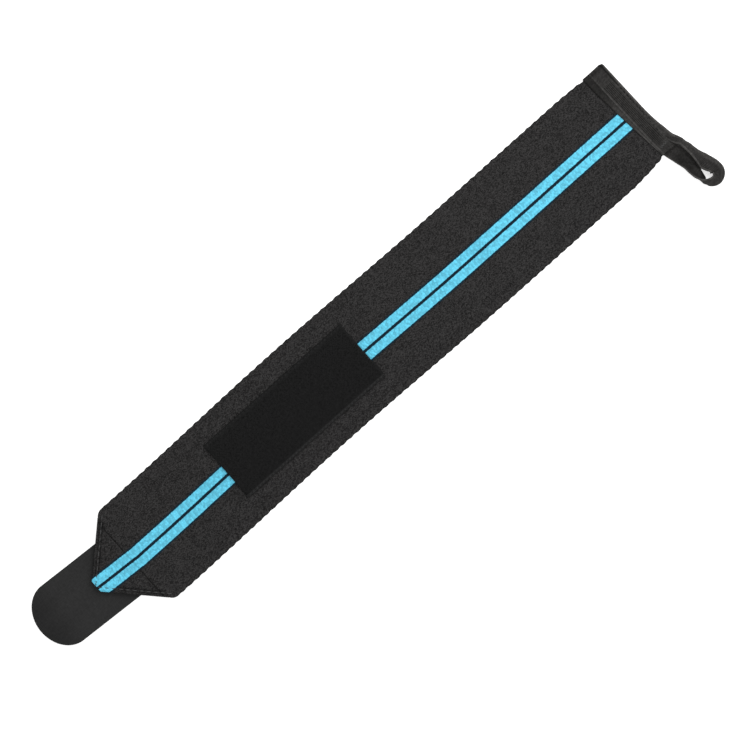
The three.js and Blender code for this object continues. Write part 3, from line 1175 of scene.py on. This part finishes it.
class WRAP_OT_band(bpy.types.Operator):
    """Weaves the elastic band, its folded point and its gathered bound end"""

    bl_idname = "wrap.weave_band"
    bl_label = "Elastic band"

    def execute(self, context):
        band, fastener, tape, stitches, colours = settings_of(context)
        chance = np.random.RandomState(stitches.seed)
        columns = np.arange(BAND_START_X, END_X, band.weave)
        seam_x = shoulder_x(band) - 5 * MM
        groove_x = tape_middle_x(tape) - tape.width / 2 - 4.7 * MM
        close = np.array([-0.6, -0.3, 0, 0.3, 0.6]) * MM
        tip = BAND_START_X + np.array([0, 0.15, 0.4, 0.7, 1.2]) * MM
        columns = np.unique(np.concatenate([columns, tip, seam_x + close, groove_x + close, [END_X]]))
        columns = columns[np.append(True, np.diff(columns) > 0.05 * MM)]
        upper, lower = band_sides(band, columns)
        on_side = smooth(columns, shoulder_x(band), shoulder_x(band) + 8 * MM)
        swing = np.sin(columns * math.tau / (6.5 * MM))
        frayed = chance.uniform(-0.08 * MM, 0.08 * MM, (2, len(columns)))
        upper = upper + on_side * (band.scallop * swing + frayed[0])
        lower = lower - on_side * (band.scallop * np.roll(swing, 3) + frayed[1])
        phase = columns[0] / band.weave

        def face_height(x, y):
            threads = np.cos(math.pi * (x / band.weave - phase)) * np.cos(math.pi * y / band.weave)
            loose = chance.uniform(-0.5, 0.5, x.shape)
            settle = np.sin(x / (21 * MM) + 2 * np.sin(y / (17 * MM)))
            inside = smooth(np.minimum(upper[:, None] - y, y - lower[:, None]), 0.2 * MM, 2 * MM)
            relief = band.relief * (threads + loose) + 0.08 * MM * settle
            return band_face(band, tape, x, y) + relief * inside

        def face_tone(x, y):
            # Painted shade on the edges that turn down
            edge = np.minimum(upper[:, None] - y, y - lower[:, None])
            edge_shade = 0.5 + 0.5 * smooth(edge, 0, 0.9 * MM)
            # Painted shade in the dips beside the fold seams, on the double cloth, and along the cross seam
            from_fold = (x - POINT_X - np.abs(y - band_drift(band, x))) / math.sqrt(2)
            double = x < shoulder_x(band) - 2 * MM
            fold_seam_shade = np.exp(-((from_fold - 2 * MM) / (0.5 * MM)) ** 2)
            fold_seam_shade += np.exp(-((from_fold - 4.1 * MM) / (0.5 * MM)) ** 2)
            cross_seam_shade = np.exp(-((x - seam_x) / (0.45 * MM)) ** 2)
            row = np.exp(-((y - lower[:, None] - 7 * MM) / (0.5 * MM)) ** 2)
            dots = 0.35 * row * (np.sin(x * math.tau / (3.2 * MM)) > 0.2)
            across = np.abs(y - band_drift(band, x) + 1.5 * MM)
            between = 1 - 0.6 * (across < 1 * MM) * (x > BAND_START_X + 1 * MM)
            # The darker strip between the stripes joins the painted edge shade
            edge_shade = edge_shade * between
            return edge_shade * (1 - 0.55 * fold_seam_shade * double) * (1 - 0.5 * cross_seam_shade) * (1 - dots)

        def back_height(x, y):
            upper_edge, lower_edge = band_sides(band, x)
            bottom = np.where(x < shoulder_x(band), FOLD_BOTTOM, band_underside(band, tape, x))
            top = band_underside(band, tape, x) + band.thickness
            from_edge = np.maximum(0, np.minimum(upper_edge - y, y - lower_edge))
            from_edge = np.minimum(from_edge, x - BAND_START_X + 0.2 * MM)
            radius = np.minimum((top - bottom) / 2, 0.98 * (upper_edge - lower_edge) / 2)
            return bottom + (top - bottom) / 2 * (1 - edge_swell(from_edge, radius))

        piece = layered_cloth(
            "woven_band",
            columns,
            (upper, lower),
            face_height,
            back_height,
            band.weave,
            4 * MM,
            [0, 0.15 * MM, 0.5 * MM, 1 * MM, 2 * MM],
            lambda x, y: (x, y - float(band_drift(band, np.float64(x)))),
            face_tone,
        )
        # Covered rubber woven in black polyester: matt, with a dry grain of single cells
        material = cloth_material(
            "woven_covered_elastic", colours.elastic, 0.9, 0, 0.04, woven_elastic_detail
        )
        finish_piece(piece, material)
        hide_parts("elastic_band")
        return {"FINISHED"}


class WRAP_OT_stripes(bpy.types.Operator):
    """Lays the two stripes of light blue yarn in the band's face"""

    bl_idname = "wrap.weave_stripes"
    bl_label = "Stripes"

    def execute(self, context):
        band, fastener, tape, stitches, colours = settings_of(context)
        half = band.stripe_width / 2

        def yarn(tree, colour):
            return stripe_detail(tree, colour, colours.outline, half + band.gap_fill / 2)

        # Filament polyester floated over the black threads: smoother and brighter than the elastic
        material = cloth_material("filament_stripe_yarn", colours.stripe, 0.7, 0, 0.15, yarn)
        chance = np.random.RandomState(stitches.seed + 1)
        for name, node, side in (
            ("woven_stripe_upper", "stripe_upper", 1),
            ("woven_stripe_lower", "stripe_lower", -1),
        ):
            middle = -1.5 * MM + side * band.stripe_spacing / 2
            light_middle = middle - side * band.gap_fill / 2
            columns = np.arange(BAND_START_X + 0.25 * MM, END_X - 1.6 * MM, 0.4 * MM)
            drift = band_drift(band, columns)
            waves = 0.12 * MM * np.sin(columns * math.tau / (6.3 * MM) + side)
            ragged = np.repeat(chance.uniform(-0.12 * MM, 0.12 * MM, (2, len(columns) // 4 + 1)), 4, axis=1)
            ragged = ragged[:, :len(columns)]
            outside = half + band.outline_width
            inside = band.stripe_spacing / 2 - 0.03 * MM
            above, below = (outside, inside) if side > 0 else (inside, outside)
            upper = drift + middle + above + (waves + ragged[0]) * (side > 0)
            lower = drift + middle - below - (np.roll(waves, 5) + ragged[1]) * (side < 0)
            band_upper, band_lower = band_sides(band, columns)
            upper = np.minimum(upper, band_upper - 0.15 * MM)
            lower = np.maximum(lower, band_lower + 0.15 * MM)
            wide = upper - lower > 0.8 * MM
            columns, upper, lower = columns[wide], upper[wide], lower[wide]

            def face_height(x, y):
                out = (y - band_drift(band, x) - middle) / half
                crown = 1 - np.clip(np.abs(out), 0, 1) ** 4
                picks = 0.04 * MM * np.sin(x * math.tau / (1.6 * MM))
                edge = np.minimum(upper[:, None] - y, y - lower[:, None])
                raised = band.stripe_relief * (0.5 + 0.5 * crown) + picks
                return band_face(band, tape, x, y) + 0.1 * MM + raised * edge_swell(edge, 0.2 * MM)

            def back_height(x, y):
                edge = np.minimum(upper[:, None] - y, y - lower[:, None])
                return band_face(band, tape, x, y) + 0.03 * MM - 0.35 * MM * edge_swell(edge, 0.3 * MM)

            piece = layered_cloth(
                name,
                columns,
                (upper, lower),
                face_height,
                back_height,
                0.6 * MM,
                1.6 * MM,
                [0, 0.12 * MM, 0.3 * MM],
                lambda x, y: (x, y - float(band_drift(band, np.float64(x))) - light_middle),
                # Painted shade where the cross seam draws the stripes in
                lambda x, y: 1 - 0.3 * np.exp(-((x - shoulder_x(band) + 5 * MM) / (0.5 * MM)) ** 2),
            )
            finish_piece(piece, material)
            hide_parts(node)
        return {"FINISHED"}


class WRAP_OT_patch(bpy.types.Operator):
    """Makes the pile patch: its backing tape and its loops"""

    bl_idname = "wrap.make_patch"
    bl_label = "Pile patch"

    def execute(self, context):
        band, fastener, tape, stitches, colours = settings_of(context)
        bottom = PATCH_LOW[2] + 0.05 * MM
        middle_x = (PATCH_LOW[0] + PATCH_HIGH[0]) / 2
        middle_y = (PATCH_LOW[1] + PATCH_HIGH[1]) / 2
        half_length = fastener.patch_length / 2
        half_width = fastener.width / 2
        chance = np.random.RandomState(stitches.seed + 2)
        columns = np.linspace(middle_x - half_length, middle_x + half_length, 180)
        frayed = chance.uniform(-0.1 * MM, 0.1 * MM, (2, len(columns)))
        upper = middle_y + half_width + frayed[0]
        lower = middle_y - half_width + frayed[1]
        selvage = fastener.selvage
        ground = 0.75 * MM

        def face_height(x, y):
            edge = np.minimum(upper[:, None] - y, y - lower[:, None])
            from_cut = np.minimum(x - columns[0], columns[-1] - x)
            raised = smooth(edge, selvage - 0.3 * MM, selvage + 0.5 * MM) * smooth(from_cut, 0, 0.8 * MM)
            rows = 0.06 * MM * np.cos(x * math.tau / (1.5 * MM)) * np.cos(y * math.tau / (1.5 * MM))
            backing = fastener.patch_backing - 0.25 * MM * (1 - edge_swell(edge, 0.5 * MM))
            return bottom + backing + ground * raised + rows * raised

        def patch_tone(x, y):
            below = y - lower[:, None]
            above = upper[:, None] - y
            light = 2.1 * (1 - smooth(below, selvage - 0.5 * MM, selvage))
            light = np.maximum(light, 1.3 * (1 - smooth(above, selvage - 0.5 * MM, selvage)))
            # Painted shade on the edges that turn down
            edge_shade = 0.35 + 0.65 * smooth(np.minimum(below, above), 0.2 * MM, 0.9 * MM)
            return np.maximum(0.8, light) * edge_shade

        def back_height(x, y):
            edge = np.minimum(upper[:, None] - y, y - lower[:, None])
            return bottom + 0.3 * MM * (1 - edge_swell(edge, 0.5 * MM))

        piece = layered_cloth(
            "patch_tape",
            columns,
            (upper, lower),
            face_height,
            back_height,
            0.75 * MM,
            4 * MM,
            [0, 0.2 * MM, 0.5 * MM, 1.1 * MM, 1.9 * MM, 2.3 * MM, 2.7 * MM],
            lambda x, y: (x, y - middle_y),
            patch_tone,
        )
        # Woven nylon ground, dull, with lighter selvages
        material = cloth_material("woven_nylon_tape", colours.pile, 0.9, 0, 0.05, plain_tape_detail)
        finish_piece(piece, material)
        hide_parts("pile_patch")

        # Crimped nylon loops, unbrushed: they swallow light between them
        pile = cloth_material("looped_nylon_pile", colours.pile, 0.95, 0, 0.03, pile_detail, False)
        pitch = fastener.loop_pitch
        field_length = fastener.patch_length - 1.8 * MM
        field_width = fastener.width - 2 * selvage - 0.8 * MM
        level = bottom + fastener.patch_backing + ground - 0.1 * MM
        corners = [
            (middle_x + sx * field_length / 2, middle_y + sy * field_width / 2, level)
            for sx, sy in ((-1, -1), (1, -1), (1, 1), (-1, 1))
        ]
        values = {
            "Length": field_length,
            "Width": field_width,
            "Columns": round(field_length / pitch),
            "Rows": 2 * (round(field_width / pitch) // 2) + 1,
            "Middle": (middle_x, middle_y, level),
            "Stagger": pitch / 2,
            "Scatter": 0.45 * pitch,
            "Height": fastener.loop_height - 0.5 * fastener.loop_yarn,
            "Yarn": fastener.loop_yarn,
            "Seed": stitches.seed,
            "Material": pile,
        }
        loops = grow("pile_loops", corners, [], [(0, 1, 2, 3)], pile_tree(), values)
        finish_piece(loops)
        return {"FINISHED"}


class WRAP_OT_tab(bpy.types.Operator):
    """Makes the hook tab: its woven back and the hooks under it"""

    bl_idname = "wrap.make_tab"
    bl_label = "Hook tab"

    def execute(self, context):
        band, fastener, tape, stitches, colours = settings_of(context)
        length = shoulder_x(band) - POINT_X + fastener.tab_reach
        half = fastener.width / 2
        depth = fastener.tab_end_depth
        hooks_height = fastener.hook_height + 0.05 * MM
        turn = Matrix.Rotation(-END_TURN, 4, "Z")
        place = Matrix.Translation((shoulder_x(band), 0, 0)) @ turn
        arc = np.linspace(0.02, math.pi / 2, 40)
        round_end = -length + depth * (1 - np.cos(arc))
        straight = np.arange(-length + depth + 0.9 * MM, 0.3 * MM, 0.9 * MM)
        columns = np.concatenate([round_end, straight])
        share = np.clip((-length + depth - columns) / depth, 0, 1)
        side = half * np.sqrt(np.maximum(1 - share**2, 0))

        def face_height(x, y):
            edge = np.minimum(side[:, None] - y, y + side[:, None])
            selvage = 0.12 * MM * (1 - smooth(edge, 1.2 * MM, 2.2 * MM))
            worn = 0.05 * MM * np.sin(x / (7 * MM)) * np.cos(y / (9 * MM))
            rounded = fastener.tab_backing / 2 * (1 - edge_swell(edge, 0.6 * MM))
            return hooks_height + fastener.tab_backing - rounded + selvage + worn - 0.1 * MM

        def tab_tone(x, y):
            edge = np.minimum(side[:, None] - y, y + side[:, None])
            # Painted shade on the edges that turn down, and painted shade deepening towards the tab's free end
            edge_shade = 0.6 + 0.4 * smooth(edge, 0, 0.6 * MM)
            streaks = 0.03 * np.sin(y / (3.1 * MM) + 1.5 * np.sin(x / (16 * MM)))
            return edge_shade * (1 - 0.3 * smooth(-x, 56 * MM, 80 * MM) + streaks)

        def back_height(x, y):
            edge = np.minimum(side[:, None] - y, y + side[:, None])
            return hooks_height + (fastener.tab_backing / 2 - 0.05 * MM) * (1 - edge_swell(edge, 0.6 * MM))

        piece = layered_cloth(
            "tab_tape",
            columns,
            (side, -side),
            face_height,
            back_height,
            0.9 * MM,
            3 * MM,
            [0, 0.15 * MM, 0.4 * MM, 0.8 * MM, 1.4 * MM, 2 * MM, 2.4 * MM],
            lambda x, y: (x, y),
            tab_tone,
        )
        piece.data.transform(place)
        # Woven nylon, heat-set and back-coated, so it is smooth with a low satin light
        material = cloth_material("back_coated_hook_tape", colours.hook_tape, 0.7, 0, 0.08, plain_tape_detail)
        finish_piece(piece, material)
        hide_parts("hook_tab")

        # Cut nylon monofilament, stiff and slightly glossy
        monofilament = cloth_material(
            "nylon_monofilament_hooks", colours.hook_tape, 0.45, 0, 0.4, thread_detail, False
        )
        inset = fastener.selvage
        outline = [(-2 * MM, half - inset), (-2 * MM, inset - half)]
        for angle in np.linspace(-math.pi / 2, -3 * math.pi / 2, 33):
            outline.append(
                (
                    -length + depth + (depth - inset) * math.cos(angle),
                    (half - inset) * math.sin(angle),
                )
            )
        level = hooks_height + 0.1 * MM
        corners = [tuple(place @ Vector((x, y, level))) for x, y in outline]
        pitch = fastener.hook_pitch
        middle = place @ Vector((-length / 2, 0, level))
        values = {
            "Length": length + 4 * MM,
            "Width": fastener.width + 6 * MM,
            "Columns": round((length + 4 * MM) / pitch),
            "Rows": 2 * (round((fastener.width + 6 * MM) / pitch) // 2) + 1,
            "Middle": tuple(middle),
            "Stagger": pitch / 2,
            "Scatter": 0.08 * pitch,
            "Height": fastener.hook_height - 0.5 * fastener.hook_yarn,
            "Yarn": fastener.hook_yarn,
            "Seed": stitches.seed,
            "Material": monofilament,
        }
        face = [tuple(range(len(corners)))]
        hooks = grow("tab_hooks", corners, [], face, hook_tree(), values)
        finish_piece(hooks)
        return {"FINISHED"}


def cubic(p1, p2, slope_1, slope_2, t):
    return (
        p1
        + slope_1 * t
        + (-3 * p1 + 3 * p2 - 2 * slope_1 - slope_2) * t**2
        + (2 * p1 - 2 * p2 + slope_1 + slope_2) * t**3
    )


def through_stations(points, tension=None):
    """A smooth line through points, as a function of the station's number. With no tension its speed
    follows the distances between them."""
    points = np.asarray(points, float)
    ends = [2 * points[0] - points[1], *points, 2 * points[-1] - points[-2]]

    def at(station):
        i = min(int(station), len(points) - 2)
        p0, p1, p2, p3 = ends[i:i + 4]
        if tension is not None:
            return cubic(p1, p2, tension * (p2 - p0), tension * (p3 - p1), station - i)
        d0, d1, d2 = [math.sqrt(np.linalg.norm(b - a)) for a, b in ((p0, p1), (p1, p2), (p2, p3))]
        slope_1 = d1 * ((p1 - p0) / d0 - (p2 - p0) / (d0 + d1) + (p2 - p1) / d1)
        slope_2 = d1 * ((p2 - p1) / d1 - (p3 - p1) / (d1 + d2) + (p3 - p2) / d2)
        return cubic(p1, p2, slope_1, slope_2, station - i)

    return at


def tape_sections(band, tape, way):
    """Places along a tape, each with the directions across it and out of its outer face, the length of
    tape up to it, its station and how far its width is open."""
    middle = tape_middle_x(tape)
    half = band.width / 2
    rows = np.array(way)
    plan = through_stations(
        np.stack(
            [middle + rows[:, 2] * LOOP_SPAN, -(rows[:, 0] * half + rows[:, 1] * LOOP_REACH)],
            axis=1,
        )
    )
    turning = through_stations(rows[:, 3:6], 0.4)
    stations = [0.0]
    for i in range(len(rows) - 1):
        span = np.linalg.norm(plan(i + 1) - plan(i))
        count = max(3, math.ceil(span / tape.section_spacing))
        stations.extend(i + (k + 1) / count for k in range(count))
    upper_run = tape.thickness + band.thickness + 0.6 * MM
    places, rolls, widths = [], [], []
    for station in stations:
        x, y = plan(station)
        roll, lifted, open_share = turning(station)
        roll = math.radians(roll)
        standing = tape.width * open_share * abs(math.sin(roll))
        resting = (standing + tape.thickness * abs(math.cos(roll))) / 2
        places.append(Vector((x, y, resting + min(max(lifted, 0), 1) * upper_run)))
        rolls.append(roll)
        widths.append(open_share)
    sections = []
    run = 0
    for i, place in enumerate(places):
        before = places[max(i - 1, 0)]
        after = places[min(i + 1, len(places) - 1)]
        heading = (after - before).normalized()
        level = Vector((0, 0, 1)).cross(heading).normalized()
        face = heading.cross(level)
        across = level * math.cos(rolls[i]) - face * math.sin(rolls[i])
        run += (place - before).length if i else 0
        sections.append((place, across, heading.cross(across), run, stations[i], widths[i]))
    return sections


class WRAP_OT_tape(bpy.types.Operator):
    """Lays the ribbed tape over the bound end, round the thumb loop and back under the bound end"""

    bl_idname = "wrap.lay_tape"
    bl_label = "Bound end and thumb loop"

    def execute(self, context):
        band, fastener, tape, stitches, colours = settings_of(context)
        # Narrow elastic woven over covered rubber: ribbed, drier and a little lighter than the band
        material = cloth_material("ribbed_elastic_tape", colours.tape, 0.85, 0, 0.04, elastic_tape_detail)
        chance = np.random.RandomState(stitches.seed + 3)
        half = tape.width / 2
        rise = tape.thickness / 2
        ribs_from = -half + 0.7 * MM
        ribs_to = ribs_from + 7 * tape.rib_pitch
        over = list(np.arange(half - 0.9 * MM, ribs_to + 0.1 * MM, -0.6 * MM))
        over += list(np.linspace(ribs_to, ribs_from, 7 * 5 + 1))
        over += [-half + 0.45 * MM]
        under = list(np.linspace(-half + 0.6 * MM, half - 0.6 * MM, 13))
        edge_right = [math.radians(a) for a in (-60, -30, 0, 30, 60)]
        edge_left = [math.radians(a) for a in (120, 150, 180, 210, 240)]
        corner = 2.4 * MM
        margin = (0.03, 0.25, 0.5, 0.75, 0.92, 1)
        for name, way in (("binding_tape", BINDING_WAY), ("loop_tape", LOOP_WAY)):
            binding = name == "binding_tape"
            sections = tape_sections(band, tape, way)
            whole = sections[-1][3]
            points, places, tones = [], [], []
            for place, across, up, run, station, open_share in sections:
                heading = across.cross(up)
                if binding:
                    ribbed = smooth(run, 12 * MM, 15 * MM) * (1 - 0.7 * smooth(run, 62 * MM, 70 * MM))
                    from_end = max(0, corner - run)
                    in_loop = 0
                else:
                    ribbed = 1 - 0.7 * smooth(station, 11.5, 13.5)
                    from_end = max(0, corner - (whole - run))
                    in_loop = 1 - smooth(station, 22.6, 23)
                cut_in = corner - math.sqrt(corner**2 - from_end**2)
                # Darker over the binding's turned-under start; painted shadow of the near strand on the loop's
                # returning strand
                darker_start_and_shadow = 1 - 0.3 * binding * (1 - smooth(run, 12 * MM, 14 * MM))
                darker_start_and_shadow *= 1 - 0.25 * (1 - binding) * smooth(station, 10.5, 12.5)
                # The tape curls across its width where it turns over
                cupped = (1 - binding) * 3 * MM * math.exp(-((station - 15.7) / 1.6) ** 2)
                stitched = math.sin(run * math.tau / (3.1 * MM)) > 0.1 and 18 * MM < run < 52 * MM
                rim = 1 - 0.1 * in_loop
                pleat_shadow = binding * smooth(run, 54 * MM, 62 * MM)
                outline = [(half - rise * (1 - math.cos(a)), rise * math.sin(a), rim) for a in edge_right]
                for s in over:
                    in_ribs = ribs_from < s < ribs_to
                    wave = 0.5 - 0.5 * math.cos((s - ribs_from) / tape.rib_pitch * math.tau)
                    groove = (1 - wave) * ribbed if in_ribs else 0
                    row = math.exp(-((s - half + 2.1 * MM) / (0.5 * MM)) ** 2)
                    crease = binding * math.exp(-((run - 2.2 * MM) / (0.7 * MM)) ** 2)
                    stitch_row_and_crease_shade = min(1, row * binding * (1 if stitched or run < 18 * MM else 0.3) + 0.8 * crease)
                    # Painted shade in the grooves between the ribs and in the crease near the start; the row of
                    # stitches darker, most in its dots
                    tone = darker_start_and_shadow * (1 - 0.7 * groove - 0.75 * stitch_row_and_crease_shade)
                    # Painted shadow in the pleat at the binding's lower end
                    tone *= 1 - 0.3 * pleat_shadow * math.exp(-((s + 1.5 * MM) / (3 * MM)) ** 2)
                    loose = chance.uniform(-0.02, 0.02) * MM
                    outline.append((s, rise - tape.rib_height * groove + loose, tone))
                if not binding:
                    outline += [(-half + rise * (1 + math.cos(a)), rise * math.sin(a), rim) for a in edge_left]
                bottom = []
                for s in under:
                    # The smooth inner face: darker, partly its own plain back and partly painted shadow of the
                    # other strand, with painted light where the other strand leans over it and near the bound
                    # end, against the shade there
                    lit_under_strand = smooth(s, -3 * MM, 4 * MM) * smooth(station, 16.5, 19)
                    inner = 0.45 + in_loop * (0.75 * lit_under_strand + 0.4 * smooth(station, 20.8, 22))
                    bottom.append((s, -rise + chance.uniform(-0.015, 0.015) * MM, inner))
                spill = 0.3 * MM * (smooth(-place.y, 4 * MM, 12 * MM) + 8 * smooth(-place.y, 9 * MM, 35 * MM))

                def add(points_across):
                    for s, h, tone in points_across:
                        open_s = s * open_share + spill * binding * smooth(s, 0, half)
                        if s > 0:
                            open_s -= cut_in * s / half
                        at = place + across * open_s + up * (h + cupped * (1 - (s / half) ** 2))
                        at += heading * s * 0.2 * binding * smooth(run, whole - 8 * MM, whole)
                        points.append(tuple(at))
                        places.append((run, s))
                        tones.append(tone)

                add(outline)
                if binding:
                    # A thin plain margin that covers the stripes' ends, widest at the tape's start
                    wide = 0.8 * MM + min(4.4 * MM, 0.075 * max(0, place.y + 32 * MM))
                    # The margin's darkness is painted shade in the groove beside the tape, deepest at the top,
                    # with a painted shade line on its outer edge; a painted highlight runs along the pucker
                    # lower down
                    shade = 0.3 + 0.3 * smooth(-place.y, -24 * MM, -4 * MM)
                    puckered = smooth(-place.y, 8 * MM, 14 * MM)
                    for level, shares in ((0.8 * MM, margin), (0.4 * MM, margin[::-1])):
                        for share in shares:
                            x = place.x - half - wide * share
                            if level > 0.5 * MM and share == 1:
                                x += 0.1 * MM
                            face = float(band_face(band, tape, np.float64(x), np.float64(place.y)))
                            points.append((x, place.y, face + level))
                            places.append((run, -half - wide * share))
                            pucker_highlight = 0.4 * puckered * (0.4 < share < 0.7)
                            tones.append(shade * (1 - 0.4 * (share > 0.9)) + pucker_highlight)
                add(bottom)
            count = len(points) // len(sections)
            faces = []
            for ring in range(len(sections) - 1):
                for i in range(count):
                    a = ring * count + i
                    b = ring * count + (i + 1) % count
                    faces.append((a, b, b + count, a + count))
            last = (len(sections) - 1) * count
            faces.append(tuple(range(count))[::-1])
            faces.append(tuple(range(last, last + count)))
            piece = cloth_object(name, points, faces, places, tones)
            finish_piece(piece, material)
            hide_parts("bound_tape")
        return {"FINISHED"}


class WRAP_OT_stitches(bpy.types.Operator):
    """Sews the point, the tab, the patch, the bound end and the bar tack"""

    bl_idname = "wrap.sew_seams"
    bl_label = "Stitching"

    def execute(self, context):
        band, fastener, tape, stitches, colours = settings_of(context)
        # Polyester thread, twisted and lubricated. The grey copy's colour holds each stitch's soft gleam as
        # painted sheen; the darker copy holds painted shade for stitches sunk in the cloth
        thread = cloth_material(
            "polyester_thread", colours.thread, 0.8, 0, 0.05, thread_detail, False
        )
        shaded_thread = cloth_material(
            "shaded_polyester_thread", colours.shaded_thread, 0.8, 0, 0.05, thread_detail, False
        )

        def on_face(x, y):
            level = band_face(band, tape, np.float64(x), np.float64(y))
            return (x, y, float(level) + 0.1 * MM)

        # Rows along both folded edges and across the point
        inset = 3 * MM * math.sqrt(2)
        shoulder = shoulder_x(band)
        fold_rows = []
        for side in (1, -1):
            row = []
            for out in np.linspace(2 * MM, band.width / 2 - 5 * MM, 60):
                x = POINT_X + inset + out
                row.append(on_face(x, float(band_drift(band, x)) + side * out))
            fold_rows.append(row)
        point = sew(
            "point_stitches",
            fold_rows,
            stitches.point_pitch,
            3.4 * MM,
            1.6 * stitches.thread,
            0,
            stitches,
            thread,
        )
        finish_piece(point)
        seam_x = shoulder - 5 * MM
        cross = [on_face(seam_x, y) for y in np.linspace(-33 * MM, 34 * MM, 80)]
        seam = sew(
            "cross_seam_stitches",
            [cross],
            stitches.seam_pitch,
            2.2 * MM,
            0.8 * stitches.thread,
            0,
            stitches,
            shaded_thread,
        )
        finish_piece(seam)

        # Along the patch's two selvages
        middle_y = (PATCH_LOW[1] + PATCH_HIGH[1]) / 2
        left, right = PATCH_LOW[0] + 1.2 * MM, PATCH_HIGH[0] - 1.2 * MM
        reach = fastener.width / 2 - 1.1 * MM
        level = PATCH_LOW[2] + fastener.patch_backing + 0.12 * MM
        corners = [
            (left, middle_y - reach),
            (right, middle_y - reach),
            (right, middle_y + reach),
            (left, middle_y + reach),
        ]
        rows = [[(x, y, level) for x, y in corners[i:i + 2]] for i in (0, 2)]
        patch = sew(
            "patch_stitches",
            rows,
            stitches.seam_pitch,
            2.3 * MM,
            stitches.thread,
            0,
            stitches,
            shaded_thread,
        )
        finish_piece(patch)

        # Rows along the bound end
        middle_x = tape_middle_x(tape)
        upper_level = TAPE_LOW[2] + 2 * tape.thickness + band.thickness + 0.6 * MM
        outer = [
            (middle_x + tape.width / 2 - 2 * MM, y, upper_level + 0.05 * MM)
            for y in np.linspace(38 * MM, -20 * MM, 50)
        ]
        bound = sew(
            "bound_end_stitches",
            [outer],
            stitches.tape_pitch,
            2.2 * MM,
            stitches.thread,
            0,
            stitches,
            shaded_thread,
        )
        finish_piece(bound)

        # Bar tack over the binding's end, slanted threads laid close
        tack_row = [
            (244 * MM + 5 * MM * t, -31.2 * MM + 0.4 * MM * t, upper_level + 0.05 * MM)
            for t in np.linspace(0, 1, 30)
        ]
        tack = sew(
            "bar_tack",
            [tack_row],
            stitches.tack_pitch,
            2.6 * MM,
            stitches.thread,
            math.radians(58),
            stitches,
            thread,
        )
        finish_piece(tack)
        return {"FINISHED"}


class WRAP_OT_stage(bpy.types.Operator):
    """Sets the pale floor, the soft light and the camera over the wrap"""

    bl_idname = "wrap.set_stage"
    bl_label = "Stage"

    def execute(self, context):
        scene = context.scene
        reach = 3
        corners = [(-reach, -reach), (reach, -reach), (reach, reach), (-reach, reach)]
        floor_mesh = bpy.data.meshes.new("floor")
        floor_mesh.from_pydata([(x, y, -0.15 * MM) for x, y in corners], [], [(0, 1, 2, 3)])
        floor = bpy.data.objects.new("floor", floor_mesh)
        scene.collection.objects.link(floor)
        floor_mesh.materials.append(studio_paper())

        # A large soft box towards the thumb loop, at the photograph's upper right, and an even sky
        key = bpy.data.lights.new("soft_box", "AREA")
        key.shape = "RECTANGLE"
        key.size = 0.8
        key.size_y = 0.7
        key.energy = 5
        lamp = bpy.data.objects.new("soft_box", key)
        scene.collection.objects.link(lamp)
        lamp.location = (0.65, 0.2, 0.85)
        lamp.rotation_euler = (-lamp.location).to_track_quat("-Z", "Y").to_euler()

        world = bpy.data.worlds.new("studio_sky")
        world.use_nodes = True
        world.node_tree.nodes.clear()
        sky = add_node(
            world.node_tree,
            "ShaderNodeBackground",
            inputs={"Color": (1, 1, 1, 1), "Strength": 0.8},
        )
        add_node(world.node_tree, "ShaderNodeOutputWorld", inputs={"Surface": sky.outputs["Background"]})
        scene.world = world
        scene.view_settings.view_transform = "Standard"

        lens = bpy.data.cameras.new("photo_camera")
        height = 3
        lens.sensor_width = 36
        lens.lens = 36 * (height - 3 * MM) / PHOTO_WIDTH
        lens.clip_end = 20
        camera = bpy.data.objects.new("photo_camera", lens)
        scene.collection.objects.link(camera)
        camera.location = (*PHOTO_MIDDLE, height)
        camera.rotation_euler = (0, 0, PHOTO_TURN)
        scene.camera = camera
        return {"FINISHED"}


class WRAP_PT_panel(bpy.types.Panel):
    """Lists the steps that make the wrist wrap, with their sizes and colours"""

    bl_idname = "WRAP_PT_panel"
    bl_label = "Wrist wrap"
    bl_space_type = "VIEW_3D"
    bl_region_type = "UI"
    bl_category = "Wrist wrap"

    def draw(self, context):
        layout = self.layout
        for group in settings_of(context):
            box = layout.box()
            for name in group.bl_rna.properties.keys():
                if name not in ("rna_type", "name"):
                    box.prop(group, name)
        for operator in OPERATORS:
            layout.operator(operator.bl_idname)


SETTINGS = (
    ("wrap_band", BandSettings),
    ("wrap_fastener", FastenerSettings),
    ("wrap_tape", TapeSettings),
    ("wrap_stitches", StitchSettings),
    ("wrap_colours", ClothColours),
)
OPERATORS = (
    WRAP_OT_stage,
    WRAP_OT_band,
    WRAP_OT_stripes,
    WRAP_OT_patch,
    WRAP_OT_tab,
    WRAP_OT_tape,
    WRAP_OT_stitches,
)


def register():
    for name, group in SETTINGS:
        bpy.utils.register_class(group)
        setattr(bpy.types.Scene, name, bpy.props.PointerProperty(type=group))
    for kind in (*OPERATORS, WRAP_PT_panel):
        bpy.utils.register_class(kind)


def unregister():
    for kind in (WRAP_PT_panel, *reversed(OPERATORS)):
        bpy.utils.unregister_class(kind)
    for name, group in reversed(SETTINGS):
        delattr(bpy.types.Scene, name)
        bpy.utils.unregister_class(group)


def main():
    register()
    bpy.ops.wrap.set_stage()
    bpy.ops.wrap.weave_band()
    bpy.ops.wrap.weave_stripes()
    bpy.ops.wrap.make_patch()
    bpy.ops.wrap.make_tab()
    bpy.ops.wrap.lay_tape()
    bpy.ops.wrap.sew_seams()


if __name__ == "__main__":
    main()
